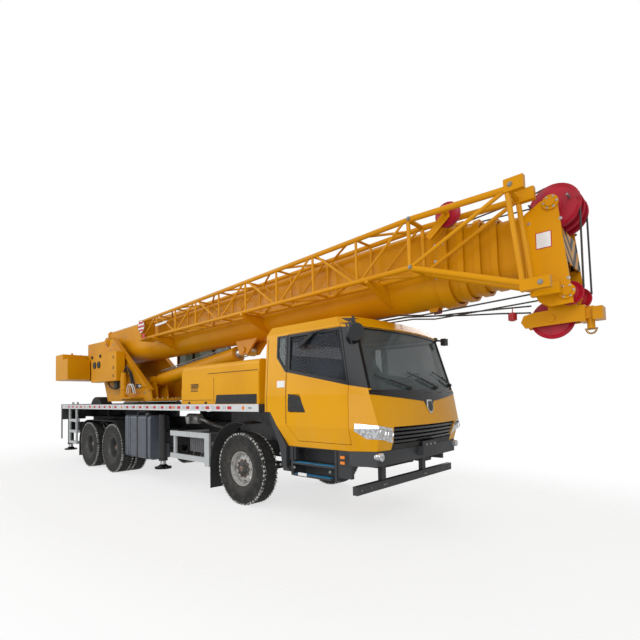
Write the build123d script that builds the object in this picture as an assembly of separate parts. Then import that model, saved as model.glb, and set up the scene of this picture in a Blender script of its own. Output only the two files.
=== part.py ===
from build123d import *
import math
import os

os.makedirs("parts", exist_ok=True)

# A three-axle truck crane with a telescopic boom and a lattice jib stowed on the boom's right side.
# Lengths are in millimetres, angles in degrees. X is the station forward of the front axle, Y is
# measured to the left of the centre plane and Z up from the ground. The finished model is moved
# along X at the end, so that its origin is at the middle of its length.

# ---------------------------------------------------------------- driving dimensions
HALF_WIDTH = 1250
CLEARANCE = 6
PIN_FIT = 0.05

WHEELBASE = 4550
TANDEM = 1350
AXLE_2 = -WHEELBASE
AXLE_3 = AXLE_2 - TANDEM

TYRE_RADIUS = 545
TYRE_WIDTH = 290
RIM_RADIUS = 262
HUB_RADIUS = 150
FRONT_TRACK = 2074
REAR_TRACK = 1834
TWIN_PITCH = 330
KINGPIN_Y = 880
KINGPIN_RADIUS = 26
SPINDLE_RADIUS = 45
REAR_SPINDLE_RADIUS = 60

RAIL_INSIDE = 330
RAIL_OUTSIDE = 420
RAIL_BOTTOM = 660
RAIL_TOP = 1180
FRONT_RAIL_TOP = 900
FRONT_RAIL_END = 2020

DECK_TOP = 1530
DECK_PLATE = 20
DECK_REAR = -7760
DECK_FRONT = 520
VALANCE_HEIGHT = 110
VALANCE_THICKNESS = 12

SLEW_X = -4950
RING_RADIUS = 700
RING_HEIGHT = 90
RING_BASE = 1490

FRONT_BOX_X = -2375
REAR_BOX_X = -7455
BOX_BOTTOM = 760
BEAM_WIDTH = 208
BEAM_HEIGHT = 230
BOX_WALL = 18
BOX_HALF_LENGTH = 980
BEAM_REACH = 1000
JACK_Y = 1080
JACK_RADIUS = 75
JACK_TOP = 1330
JACK_BOTTOM = 440
RAM_RADIUS = 55
FLOAT_RADIUS = 160
FLOAT_BOTTOM = 290
FLOAT_THICKNESS = 30

HOOD_REAR = -1610
HOOD_FRONT = 490
HOOD_HALF = 1195
HOOD_TOP = 2200
HOOD_WALL = 15
HOOD_CHAMFER = 130

CAB_BACK = 660
CAB_WALL = 40
CAB_FLOOR = 1010
GLASS_THICKNESS = 8

COUNTERWEIGHT_TAIL = -8580
COUNTERWEIGHT_FRONT = -7440
COUNTERWEIGHT_BOTTOM = 2225
COUNTERWEIGHT_TOP = 2950
COUNTERWEIGHT_HALF = 1220

TURRET_INSIDE = 520
TURRET_PLATE = 30
TURRET_FLOOR = RING_BASE + RING_HEIGHT + 20
TURRET_TOP = 3260

PIVOT_X = -6400
PIVOT_Z = 3200
PIVOT_RADIUS = 70
BOOM_TILT = 0.9
BOOM_TAIL = -450
BOOM_LENGTH = 9800
BOOM_HALF_WIDTH = 330
BOOM_TOP = 340
BOOM_BOTTOM = -600
BOOM_WALL = 10
BOOM_GAP = 20
SECTION_COUNT = 4
SECTION_STICKOUT = 180

LIFT_FOOT_X = -4700
LIFT_FOOT_Z = 2090
LIFT_HEAD_X = 5250
LIFT_HEAD_Z = -742
LIFT_PIN_RADIUS = 50
BARREL_RADIUS = 150
BARREL_LENGTH = 3250
ROD_RADIUS = 100
EYE_RADIUS = 110
EYE_WIDTH = 220

HEAD_HALF = 330
HEAD_PLATE = 25
SHEAVE_RADIUS = 240
NOSE_SHEAVE_RADIUS = 210

JIB_INNER_Y = -445
JIB_OUTER_Y = -790
JIB_TIP = 2300
JIB_KNEE = 9100
CHORD_RADIUS = 32
LACING_RADIUS = 16


# ---------------------------------------------------------------- plain shapes
def span(x0, x1, y0, y1, z0, z1):
    """A box between two places on each axis."""
    middle = Pos((x0 + x1) / 2, (y0 + y1) / 2, (z0 + z1) / 2)
    return middle * Box(x1 - x0, y1 - y0, z1 - z0)


def side_plate(points, y0, y1):
    """A profile of (x, z) points, filled from y0 to y1."""
    face = Plane.XZ.offset(-y1) * make_face(Polyline(*points, close=True))
    return extrude(face, amount=y1 - y0, dir=(0, -1, 0))


def front_plate(points, x0, x1):
    """A profile of (y, z) points, filled from x0 to x1."""
    face = Plane.YZ.offset(x0) * make_face(Polyline(*points, close=True))
    return extrude(face, amount=x1 - x0, dir=(1, 0, 0))


def floor_plate(points, z0, z1):
    """A profile of (x, y) points, filled from z0 to z1."""
    face = Plane.XY.offset(z0) * make_face(Polyline(*points, close=True))
    return extrude(face, amount=z1 - z0, dir=(0, 0, 1))


def disc_y(x, z, y0, y1, radius):
    """A cylinder along Y."""
    return Pos(x, (y0 + y1) / 2, z) * Rot(90, 0, 0) * Cylinder(radius, y1 - y0)


def disc_z(x, y, z0, z1, radius):
    """An upright cylinder."""
    return Pos(x, y, (z0 + z1) / 2) * Cylinder(radius, z1 - z0)


def disc_x(y, z, x0, x1, radius):
    """A cylinder along X."""
    return Pos((x0 + x1) / 2, y, z) * Rot(0, 90, 0) * Cylinder(radius, x1 - x0)


def rod(start, end, radius):
    """A round bar from one point to another."""
    path = Vector(*end) - Vector(*start)
    place = Plane(origin=start, z_dir=path)
    return place * Cylinder(radius, path.length, align=(Align.CENTER, Align.CENTER, Align.MIN))


def short_rod(start, end, cut, radius):
    """A round bar that stops short of both points."""
    step = (Vector(*end) - Vector(*start)).normalized() * cut
    return rod(tuple(Vector(*start) + step), tuple(Vector(*end) - step), radius)


def other_side(shape):
    """The same shape on the other side of the centre plane."""
    return mirror(shape, about=Plane.XZ)


def join(*shapes):
    """One part from several shapes."""
    return Part() + list(shapes)


def both(*shapes):
    """Shapes joined with their mirror images."""
    return join(*shapes, *[other_side(shape) for shape in shapes])


NODES = {}


def keep(name, *shapes):
    """Names a sub-part and stores it for export."""
    NODES[name] = shapes[0] if len(shapes) == 1 else join(*shapes)


# ---------------------------------------------------------------- wheels
def wheel(disc_at, dish, bore, inner_hub, outer_hub):
    """A tyre on a rim, its axis along Y and its outer side towards +Y."""
    half = TYRE_WIDTH / 2
    flank = TYRE_RADIUS - 120
    tread = half - 18
    tyre_face = make_face(
        Line((RIM_RADIUS, -half + 35), (RIM_RADIUS, half - 35))
        + ThreePointArc((RIM_RADIUS, half - 35), (RIM_RADIUS + 50, half - 8), (flank, half))
        + ThreePointArc((flank, half), (TYRE_RADIUS - 50, half - 4), (TYRE_RADIUS - 12, tread))
        + ThreePointArc((TYRE_RADIUS - 12, tread), (TYRE_RADIUS, 0), (TYRE_RADIUS - 12, -tread))
        + ThreePointArc((TYRE_RADIUS - 12, -tread), (TYRE_RADIUS - 50, -half + 4), (flank, -half))
        + ThreePointArc((flank, -half), (RIM_RADIUS + 50, -half + 8), (RIM_RADIUS, -half + 35))
    )
    tyre = revolve(tyre_face, Axis.Y)
    rim_half = half - 30
    barrel_face = make_face(Polyline(
        (RIM_RADIUS, -rim_half), (RIM_RADIUS, -rim_half + 30), (RIM_RADIUS - 22, -rim_half + 50),
        (RIM_RADIUS - 22, rim_half - 50), (RIM_RADIUS, rim_half - 30), (RIM_RADIUS, rim_half),
        (RIM_RADIUS - 14, rim_half), (RIM_RADIUS - 36, rim_half - 45),
        (RIM_RADIUS - 36, -rim_half + 45), (RIM_RADIUS - 14, -rim_half), close=True,
    ))
    disc_face = make_face(Polyline(
        (RIM_RADIUS - 24, disc_at + dish), (RIM_RADIUS - 40, disc_at + dish),
        (HUB_RADIUS + 10, disc_at + 7), (bore, disc_at + 7), (bore, disc_at - 7),
        (HUB_RADIUS + 16, disc_at - 7), (RIM_RADIUS - 24, disc_at + dish - 16), close=True,
    ))
    hub_face = make_face(Polyline(
        (bore, inner_hub), (HUB_RADIUS * 0.8, inner_hub), (HUB_RADIUS * 0.8, outer_hub - 30),
        (HUB_RADIUS * 0.6, outer_hub - 20), (bore * 1.25, outer_hub), (bore, outer_hub), close=True,
    ))
    rim = revolve(barrel_face, Axis.Y) + revolve(disc_face, Axis.Y) + revolve(hub_face, Axis.Y)
    holes = PolarLocations(HUB_RADIUS + 38, 8)
    windows = [Rot(90, 0, 0) * place * Cylinder(20, 400) for place in holes]
    return Part() + (rim - windows), tyre


def placed(shapes, x, y, z, side):
    """Shapes of a left wheel, moved to an axle end; side is 1 on the left and -1 on the right."""
    moved = [Pos(x, y, z) * shape for shape in shapes]
    return moved if side > 0 else [other_side(shape) for shape in moved]


def front_wheel(side):
    """One steered wheel, its disc near the outer side."""
    shapes = wheel(60, -34, SPINDLE_RADIUS + PIN_FIT, -40, 118)
    keep(f"wheel_front_{SIDE_NAME[side]}", Compound(children=[
        solid for shape in placed(shapes, 0, FRONT_TRACK / 2, TYRE_RADIUS, side)
        for solid in shape.solids()]))


def twin_wheels(number, x, side):
    """Two wheels back to back on one hub."""
    bore = REAR_SPINDLE_RADIUS + PIN_FIT
    middle = REAR_TRACK / 2
    outer = wheel(-TWIN_PITCH / 2 + 10, 75, bore, -TWIN_PITCH / 2, 40)
    inner = [Rot(0, 0, 180) * shape for shape in wheel(-TWIN_PITCH / 2 + 10, 75, bore, -TWIN_PITCH / 2, 20)]
    outer = [Pos(x, middle + TWIN_PITCH / 2, TYRE_RADIUS) * shape for shape in outer]
    inner = [Pos(x, middle - TWIN_PITCH / 2, TYRE_RADIUS) * shape for shape in inner]
    shapes = [outer[0] + inner[0], outer[1], inner[1]]
    if side < 0:
        shapes = [other_side(shape) for shape in shapes]
    keep(f"wheels_{number}_{SIDE_NAME[side]}", Compound(children=[
        solid for shape in shapes for solid in shape.solids()]))


SIDE_NAME = {1: "left", -1: "right"}
for side in SIDE_NAME:
    front_wheel(side)
    twin_wheels("second", AXLE_2, side)
    twin_wheels("third", AXLE_3, side)


# ---------------------------------------------------------------- steering knuckles and axles
FIST_HALF = 65
FORK_LUG = 40
FIST_RADIUS = 52


def knuckle(side):
    """A fork round the axle's fist, with its kingpin and the wheel's spindle."""
    axle = TYRE_RADIUS
    top = FIST_HALF + CLEARANCE
    spindle_from = KINGPIN_Y + FIST_RADIUS + CLEARANCE
    lugs = [
        disc_z(0, KINGPIN_Y, axle + top, axle + top + FORK_LUG, FIST_RADIUS),
        disc_z(0, KINGPIN_Y, axle - top - FORK_LUG, axle - top, FIST_RADIUS),
        span(-45, 45, KINGPIN_Y, spindle_from + 20, axle + top, axle + top + FORK_LUG),
        span(-45, 45, KINGPIN_Y, spindle_from + 20, axle - top - FORK_LUG, axle - top),
    ]
    web = span(-45, 45, spindle_from, spindle_from + 20, axle - top - FORK_LUG, axle + top + FORK_LUG)
    pin = disc_z(0, KINGPIN_Y, axle - top - FORK_LUG, axle + top + FORK_LUG, KINGPIN_RADIUS)
    spindle = disc_y(0, axle, spindle_from + 10, FRONT_TRACK / 2 + 100, SPINDLE_RADIUS)
    shape = join(*lugs, web, pin, spindle)
    keep(f"knuckle_{SIDE_NAME[side]}", shape if side > 0 else other_side(shape))


for side in SIDE_NAME:
    knuckle(side)


def front_axle_beam():
    """A dropped beam with a bored fist at each end."""
    axle = TYRE_RADIUS
    half = KINGPIN_Y - 40
    beam = front_plate(
        ((0, axle - 85), (520, axle - 85), (half, axle - 45), (half, axle + 45), (520, axle + 15), (0, axle + 15)),
        -50, 50,
    )
    fist = disc_z(0, KINGPIN_Y, axle - FIST_HALF, axle + FIST_HALF, FIST_RADIUS)
    bore = disc_z(0, KINGPIN_Y, axle - FIST_HALF - 1, axle + FIST_HALF + 1, KINGPIN_RADIUS + PIN_FIT)
    springs = side_plate(
        ((-720, 655), (-300, 595), (300, 595), (720, 655), (720, 640), (300, 560), (-300, 560), (-720, 640)),
        440, 520,
    )
    return both(beam + fist - bore, springs)


def rear_axle(x):
    """A driven axle with its gear case and a spindle at each end."""
    inner_face = REAR_TRACK / 2 - TWIN_PITCH / 2 - TYRE_WIDTH / 2
    casing = disc_y(x, TYRE_RADIUS, 0, inner_face, 75)
    gear_case = Pos(x, 0, TYRE_RADIUS) * Sphere(185)
    spindle = disc_y(x, TYRE_RADIUS, inner_face, REAR_TRACK / 2 + 150, REAR_SPINDLE_RADIUS)
    return both(casing, spindle) + gear_case


def rear_springs():
    """Two leaf packs that rock on a cross tube between the rear axles."""
    middle = (AXLE_2 + AXLE_3) / 2
    half = TANDEM / 2
    pack = side_plate(
        ((middle - half, 640), (middle - half, 612), (middle - 200, 655), (middle + 200, 655),
         (middle + half, 612), (middle + half, 640), (middle + 260, 720), (middle - 260, 720)),
        455, 545,
    )
    cross_tube = disc_y(middle, 602, 0, 590, 54)
    return both(pack, cross_tube)


keep("axles", front_axle_beam(), rear_axle(AXLE_2), rear_axle(AXLE_3), rear_springs())


# ---------------------------------------------------------------- outrigger boxes, beams and jacks
CELL_WIDTH = BEAM_WIDTH + 2 * (CLEARANCE + 1)
CELL_HEIGHT = BEAM_HEIGHT + 2 * (CLEARANCE + 1)
CELL_OFFSET = (CELL_WIDTH + BOX_WALL) / 2
BOX_TOP = BOX_BOTTOM + CELL_HEIGHT + 2 * BOX_WALL
BOX_HALF_WIDTH = CELL_WIDTH + BOX_WALL * 1.5
BEAM_Z = (BOX_BOTTOM + BOX_TOP) / 2
BEAM_CELLS = (
    # name, box station, side, which cell
    ("front_left", FRONT_BOX_X, 1, 1),
    ("front_right", FRONT_BOX_X, -1, -1),
    ("rear_left", REAR_BOX_X, 1, 1),
    ("rear_right", REAR_BOX_X, -1, -1),
)


def outrigger_box(x):
    """A tube across the frame for two beams side by side."""
    return span(x - BOX_HALF_WIDTH, x + BOX_HALF_WIDTH, -BOX_HALF_LENGTH, BOX_HALF_LENGTH, BOX_BOTTOM, BOX_TOP)


def beam_cells(x):
    """The two hollows of an outrigger box."""
    return [
        Pos(x + cell * CELL_OFFSET, 0, BEAM_Z) * Box(CELL_WIDTH, 2 * BOX_HALF_LENGTH + 10, CELL_HEIGHT)
        for cell in (-1, 1)
    ]


def outrigger(name, box_x, side, cell):
    """A beam with the jack's housing at its end, and the jack's ram with its float."""
    x = box_x + cell * CELL_OFFSET
    beam = Pos(x, (BEAM_REACH - BOX_HALF_LENGTH) / 2, BEAM_Z) * Box(
        BEAM_WIDTH, BEAM_REACH + BOX_HALF_LENGTH, BEAM_HEIGHT)
    housing = disc_z(x, JACK_Y, JACK_BOTTOM, JACK_TOP, JACK_RADIUS)
    neck = span(x - 60, x + 60, BEAM_REACH - 10, JACK_Y, BEAM_Z - 90, BEAM_Z + 90)
    collar = disc_z(x, JACK_Y, JACK_BOTTOM, JACK_BOTTOM + 40, JACK_RADIUS + 10)
    bore = disc_z(x, JACK_Y, JACK_BOTTOM - 1, JACK_TOP - 20, RAM_RADIUS + 1)
    ram = disc_z(x, JACK_Y, FLOAT_BOTTOM + FLOAT_THICKNESS, JACK_TOP - 40, RAM_RADIUS)
    foot = disc_z(x, JACK_Y, FLOAT_BOTTOM, FLOAT_BOTTOM + FLOAT_THICKNESS, FLOAT_RADIUS)
    cup = Pos(x, JACK_Y, FLOAT_BOTTOM + FLOAT_THICKNESS + 25) * Cone(FLOAT_RADIUS * 0.7, RAM_RADIUS + 5, 50)
    shapes = {"beam": join(beam, housing, neck, collar) - bore, "jack": join(ram, foot, cup)}
    for kind, shape in shapes.items():
        keep(f"outrigger_{kind}_{name}", shape if side > 0 else other_side(shape))


for row in BEAM_CELLS:
    outrigger(*row)


# ---------------------------------------------------------------- chassis
def rail():
    """One side rail, dropped under the cab."""
    return side_plate(
        ((DECK_REAR + 40, BOX_BOTTOM), (DECK_REAR + 600, RAIL_BOTTOM), (FRONT_RAIL_END, RAIL_BOTTOM),
         (FRONT_RAIL_END, FRONT_RAIL_TOP), (-900, FRONT_RAIL_TOP), (-1200, RAIL_TOP), (DECK_REAR + 40, RAIL_TOP)),
        RAIL_INSIDE, RAIL_OUTSIDE,
    )


CROSSMEMBERS = (
    # station, length along the frame, bottom, top
    (-6900, 140, 820, RAIL_TOP),
    (-5225, 260, 820, RAIL_TOP),
    (-3500, 140, 760, RAIL_TOP),
    (-1750, 140, 760, RAIL_TOP),
    (-500, 120, 680, 800),
    (700, 120, 680, 880),
    (1940, 140, RAIL_BOTTOM, FRONT_RAIL_TOP),
)


def chassis():
    """Rails, crossmembers, top plate, slewing pedestal and outrigger boxes in one weldment."""
    members = [
        span(x - length / 2, x + length / 2, -RAIL_INSIDE, RAIL_INSIDE, bottom, top)
        for x, length, bottom, top in CROSSMEMBERS
    ]
    top_plate = span(DECK_REAR + 40, HOOD_REAR - 40, -560, 560, RAIL_TOP, RAIL_TOP + 20)
    pedestal = disc_z(SLEW_X, 0, RAIL_TOP + 10, RING_BASE, RING_RADIUS - 40)
    bearers = [
        span(x - 30, x + 30, y - 60, y + 60, RAIL_TOP + 10, DECK_TOP - DECK_PLATE)
        for x in (DECK_REAR + 120, -6400, -3400, -2000) for y in (-480, 480)
    ]
    mounts = [
        span(x - 60, x + 60, y - 45, y + 45, FRONT_RAIL_TOP - 10, CAB_FLOOR - 40)
        for x in (1250, 1900) for y in (-375, 375)
    ]
    boxes = [outrigger_box(x) for x in (FRONT_BOX_X, REAR_BOX_X)]
    cells = beam_cells(FRONT_BOX_X) + beam_cells(REAR_BOX_X)
    frame = join(both(rail()), *members, top_plate, pedestal, *bearers, *mounts, *boxes)
    frame -= disc_z(SLEW_X, 0, RAIL_TOP + 40, RING_BASE + 1, RING_RADIUS - 90)
    return frame - cells


keep("chassis_frame", chassis())


def slew_ring():
    """The bearing's fixed ring, with the toothed rim on its outside."""
    ring = disc_z(SLEW_X, 0, RING_BASE, RING_BASE + RING_HEIGHT, RING_RADIUS)
    bore = disc_z(SLEW_X, 0, RING_BASE - 1, RING_BASE + RING_HEIGHT + 1, RING_RADIUS - 90)
    return ring - bore


keep("slew_ring", slew_ring())


# ---------------------------------------------------------------- deck and its edges
DECK_HALF = HALF_WIDTH - VALANCE_THICKNESS
RING_OPENING = RING_RADIUS + 30


def deck():
    """Deck plates round the slewing ring, cross bearers, the hood's sills and the rear end plate."""
    plate = span(DECK_REAR, HOOD_REAR - 20, -DECK_HALF, DECK_HALF, DECK_TOP - DECK_PLATE, DECK_TOP)
    opening = disc_z(SLEW_X, 0, DECK_TOP - DECK_PLATE - 1, DECK_TOP + 1, RING_OPENING)
    sill = span(HOOD_REAR - 20, DECK_FRONT, DECK_HALF - 90, DECK_HALF, DECK_TOP - VALANCE_HEIGHT, DECK_TOP)
    bearers = [
        span(x - 25, x + 25, 560, DECK_HALF, DECK_TOP - VALANCE_HEIGHT, DECK_TOP - DECK_PLATE)
        for x in (-7180, -6400, -5700, -4200, -3400, -2600, -1900)
    ]
    end_plate = front_plate(
        ((620, 1120), (DECK_HALF, 1120), (DECK_HALF, 590), (HALF_WIDTH, 590), (HALF_WIDTH, DECK_TOP + 10),
         (0, DECK_TOP + 10), (0, 1180), (620, 1180)),
        DECK_REAR - 80, DECK_REAR,
    )
    rims = join(sill, *bearers, end_plate)
    return join(plate - opening, both(rims))


keep("deck", deck())
valance = span(DECK_REAR, DECK_FRONT, DECK_HALF, HALF_WIDTH, DECK_TOP - VALANCE_HEIGHT, DECK_TOP)
keep("side_valances", both(valance))


def dome_cover():
    """A black half-round cover on the rear deck."""
    hump = disc_y(-7000, DECK_TOP - 240, -620, -330, 440)
    return hump & span(-7600, -6400, -700, 0, DECK_TOP, DECK_TOP + 300)


keep("deck_cover", dome_cover())


# ---------------------------------------------------------------- what hangs below the deck
TANK = dict(rear=-3900, front=-2780, bottom=430, top=1310, inside=780, outside=1200)


def tank(side):
    """A tank or locker with rounded long edges and two straps, hung from the frame."""
    body = span(TANK["rear"], TANK["front"], TANK["inside"], TANK["outside"], TANK["bottom"], TANK["top"])
    body = fillet(body.edges().filter_by(Axis.X), 70)
    arms = [span(x - 40, x + 40, RAIL_OUTSIDE, TANK["inside"] + 20, 900, 980) for x in (-3700, -3000)]
    strap_face = span(0, 60, TANK["inside"] - 8, TANK["outside"] + 8, TANK["bottom"] - 8, TANK["top"] + 8)
    strap_face = fillet(strap_face.edges().filter_by(Axis.X), 78)
    straps = [Pos(x, 0, 0) * strap_face for x in (-3720, -3010)]
    shape = join(body, *arms, *straps)
    return shape if side > 0 else other_side(shape)


keep("fuel_tank", tank(-1))
keep("hydraulic_tank", tank(1))

LADDERS = (
    # rear, front, side
    (-7290, -6730, -1),
    (-7120, -6560, 1),
)


def ladder(rear, front, side):
    """Two stiles with flat treads, hung below the valance."""
    outer = HALF_WIDTH - 20
    stiles = [span(x, x + 60, outer - 40, outer, 500, DECK_TOP - DECK_PLATE) for x in (rear, front - 60)]
    treads = [span(rear, front, outer - 90, outer, z, z + 70) for z in (500, 790, 1080)]
    shape = join(*stiles, *treads)
    return shape if side > 0 else other_side(shape)


def side_guard():
    """A rack of two rails with a broad front post, on brackets from the frame."""
    outer = HALF_WIDTH - 40
    rear, front = -2000, -770
    rails = [span(rear, front, outer - 35, outer, z, z + 90) for z in (555, 960)]
    post = span(front - 130, front, outer - 35, outer, 500, 1050)
    inner_post = span(rear + 60, rear + 120, outer - 75, outer - 35, 555, 1050)
    arms = [span(x, x + 50, RAIL_OUTSIDE, outer - 35, z, z + 50) for x, z in ((rear + 65, 980), (front - 100, 840))]
    return join(*rails, post, inner_post, *arms)


keep("side_guards", *[ladder(*row) for row in LADDERS], both(side_guard()))


def arch(x, radius, start, turn, y0, y1):
    """A curved mudguard strip round an axle, from one angle through a turn."""
    strip = disc_y(x, TYRE_RADIUS, y0, y1, radius + 12) - disc_y(x, TYRE_RADIUS, y0 - 1, y1 + 1, radius)
    reach = radius * 1.6
    corners = [(x, TYRE_RADIUS)]
    for step in range(4):
        angle = math.radians(start + turn * step / 3)
        corners.append((x + reach * math.cos(angle), TYRE_RADIUS + reach * math.sin(angle)))
    return strip & side_plate(corners, y0 - 1, y1 + 1)


def mudguards():
    """Arches over the front wheels with flaps behind, and over the rear pair."""
    front_radius = 705
    rear_radius = 600
    front = arch(0, front_radius, 75, 115, 890, 1225)
    flap = span(-front_radius - 12, -front_radius, 890, 1225, 170, TYRE_RADIUS - 20)
    stay = span(-front_radius - 12, -front_radius + 8, RAIL_OUTSIDE, 900, 850, 900)
    rear_arches = [
        arch(AXLE_2, rear_radius, -8, 98, 600, 1235),
        arch(AXLE_3, rear_radius, 90, 98, 600, 1235),
    ]
    roof = span(AXLE_3, AXLE_2, 600, 1235, TYRE_RADIUS + rear_radius, TYRE_RADIUS + rear_radius + 12)
    rear_flap = span(AXLE_3 - rear_radius - 12, AXLE_3 - rear_radius, 620, 1235, 230, TYRE_RADIUS - 60)
    rear_stay = span(AXLE_3, AXLE_3 + 60, 500, 640, TYRE_RADIUS + rear_radius, RAIL_TOP)
    stays = [Pos(x - AXLE_3, 0, 0) * rear_stay for x in (AXLE_3, AXLE_2 - 60)]
    return both(front, flap, stay, *rear_arches, roof, rear_flap, *stays)


keep("mudguards", mudguards())


# ---------------------------------------------------------------- engine and its hood
keep("engine_block", span(-1350, 200, -290, 290, 830, 1900))


def hood():
    """A pressed hood open below, its rear top edge cut off and its flanks stepped."""
    profile = (
        (HOOD_REAR, DECK_TOP), (HOOD_REAR, HOOD_TOP - HOOD_CHAMFER), (HOOD_REAR + HOOD_CHAMFER * 0.6, HOOD_TOP),
        (HOOD_FRONT, HOOD_TOP), (HOOD_FRONT, DECK_TOP),
    )
    body = side_plate(profile, -HOOD_HALF, HOOD_HALF)
    top_edges = body.faces().sort_by(Axis.Z)[-1].edges().filter_by(Axis.X)
    body = fillet(top_edges, 70)
    hollow = span(
        HOOD_REAR + HOOD_WALL, HOOD_FRONT - HOOD_WALL, -HOOD_HALF + HOOD_WALL, HOOD_HALF - HOOD_WALL,
        DECK_TOP - 1, HOOD_TOP - HOOD_CHAMFER - HOOD_WALL,
    )
    upper = span(
        HOOD_REAR + HOOD_CHAMFER, HOOD_FRONT - HOOD_WALL, -HOOD_HALF + 90, HOOD_HALF - 90,
        HOOD_TOP - HOOD_CHAMFER - HOOD_WALL - 1, HOOD_TOP - HOOD_WALL,
    )
    swage = side_plate(
        ((HOOD_REAR + 6, DECK_TOP), (HOOD_REAR + 6, 1800), (-1000, 1815), (-840, 1985), (HOOD_FRONT - 6, 2010),
         (HOOD_FRONT - 6, DECK_TOP)),
        HOOD_HALF - 2, HOOD_HALF + 12,
    )
    return join(body - hollow - upper, both(swage))


keep("engine_hood", hood())


# ---------------------------------------------------------------- the carrier's cab
CAB_SECTIONS = (
    # height, half width, corner begins, corner ends, half width there, front
    (970, 1200, 2080, 2360, 1040, 2440),
    (1240, 1250, 2120, 2420, 1080, 2540),
    (1640, 1250, 2120, 2330, 1130, 2480),
    (2500, 1190, 1960, 2090, 1070, 2210),
    (2620, 1090, 1840, 1980, 970, 2080),
)


def cab_outline(row, inset):
    """The cab's plan at one height, with a bowed front."""
    height, half, begins, ends, corner, front = row
    side = half - inset
    back = CAB_BACK + inset
    edge = (ends - inset, corner - inset * 0.6)
    outline = (
        Polyline((edge[0], -edge[1]), (begins, -side), (back, -side), (back, side), (begins, side), edge)
        + ThreePointArc(edge, (front - inset, 0), (edge[0], -edge[1]))
    )
    return Plane.XY.offset(height) * make_face(outline)


def cab_form(inset, bottom_up=0, top_down=0):
    """The cab's outside form, shrunk by an inset."""
    rows = [list(row) for row in CAB_SECTIONS]
    rows[0][0] += bottom_up
    rows[-1][0] -= top_down
    form = loft([cab_outline(row, inset) for row in rows], ruled=True)
    wheel_slope = side_plate(
        ((CAB_BACK - 10, 900), (CAB_BACK - 10, 1420 + inset), (770 + inset * 0.4, 1420 + inset),
         (1080 + inset * 0.8, 970 + inset * 0.3), (1080 + inset * 0.8, 900)),
        -1400, 1400,
    )
    return form - wheel_slope


DOOR = ((1090, 1260), (1270, 1050), (2112, 1050), (2112, 1755), (1975, 2470), (1090, 2470))
DOOR_WINDOW = ((1135, 1990), (2080, 1800), (1950, 2430), (1135, 2430))
QUARTER_WINDOW = ((905, 2190), (1045, 2010), (1045, 2440), (905, 2440))
WINDSCREEN = ((-1085, 1690), (1085, 1690), (1030, 2450), (-1030, 2450))
REAR_WINDOW = ((-700, 2250), (700, 2250), (700, 2450), (-700, 2450))
HEADLAMP = ((1220, 1300), (1220, 1215), (1130, 1120), (960, 1100), (790, 1050), (860, 1235))
GRILLE = ((-840, 1250), (840, 1250), (770, 1035), (-770, 1035))
HINGE_X = 2118
LAMP_BACK = 2125
HINGE_Y = HALF_WIDTH + 6


def side_cut(points, grow=0):
    """A side profile through the whole cab, grown all round."""
    face = make_face(Polyline(*points, close=True))
    if grow:
        face = offset(face, amount=grow, kind=Kind.INTERSECTION)
    face = Plane.XZ.offset(-1500) * face
    return extrude(face, amount=3000, dir=(0, -1, 0))


def front_cut(points, x0=1700, x1=3000):
    """A front profile through the cab's front wall."""
    return front_plate(points, x0, x1)


def mirrored_points(points):
    """A front profile turned to the other side."""
    return [(-y, z) for y, z in points]


cab_outside = cab_form(0)
cab_inside = cab_form(CAB_WALL, 40, 40)
cab_wall = cab_outside - cab_inside
glass_skin = cab_form(12, 14, 12) - cab_form(12 + GLASS_THICKNESS, 16, 12 + GLASS_THICKNESS)


ARM_FEET = [span(2025, 2105, y - 32, y + 32, 2460, 2520) for y in (-1085, 1085)]


def cab_shell():
    """Hollow walls, floor and roof with all openings cut."""
    openings = [
        side_cut(DOOR, CLEARANCE), side_cut(QUARTER_WINDOW), front_cut(WINDSCREEN),
        front_plate(REAR_WINDOW, CAB_BACK - 10, CAB_BACK + 200),
        front_cut(HEADLAMP, LAMP_BACK), front_cut(mirrored_points(HEADLAMP), LAMP_BACK), front_cut(GRILLE, 2200),
    ]
    dome = Pos(1750, -420, 2615) * Sphere(60)
    seam = both(span(CAB_BACK + 2, 2100, 1175, 1187, 2484, 2496))
    return join(cab_wall, dome) - openings - seam - ARM_FEET


keep("cab_shell", cab_shell())


def cab_glass():
    """Windscreen, quarter lights and rear window."""
    return join(
        glass_skin & front_cut(WINDSCREEN), glass_skin & side_cut(QUARTER_WINDOW),
        glass_skin & front_plate(REAR_WINDOW, CAB_BACK - 10, CAB_BACK + 200),
    )


keep("cab_glass", cab_glass())


def cab_door(side):
    """The door's panel, flush with the cab, and its window."""
    y0, y1 = (900, 1400) if side > 0 else (-1400, -900)
    half = span(0, 3000, y0, y1, 900, 2800)
    handle = side_plate(((1125, 1660), (1330, 1660), (1425, 1420), (1140, 1420)), 1225, 1400)
    handle = handle if side > 0 else other_side(handle)
    panel = ((cab_wall & side_cut(DOOR)) & half) - side_cut(DOOR_WINDOW) - handle
    window = (glass_skin & side_cut(DOOR_WINDOW)) & half
    keep(f"door_{SIDE_NAME[side]}", panel)
    keep(f"door_glass_{SIDE_NAME[side]}", window)


for side in SIDE_NAME:
    cab_door(side)


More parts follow.
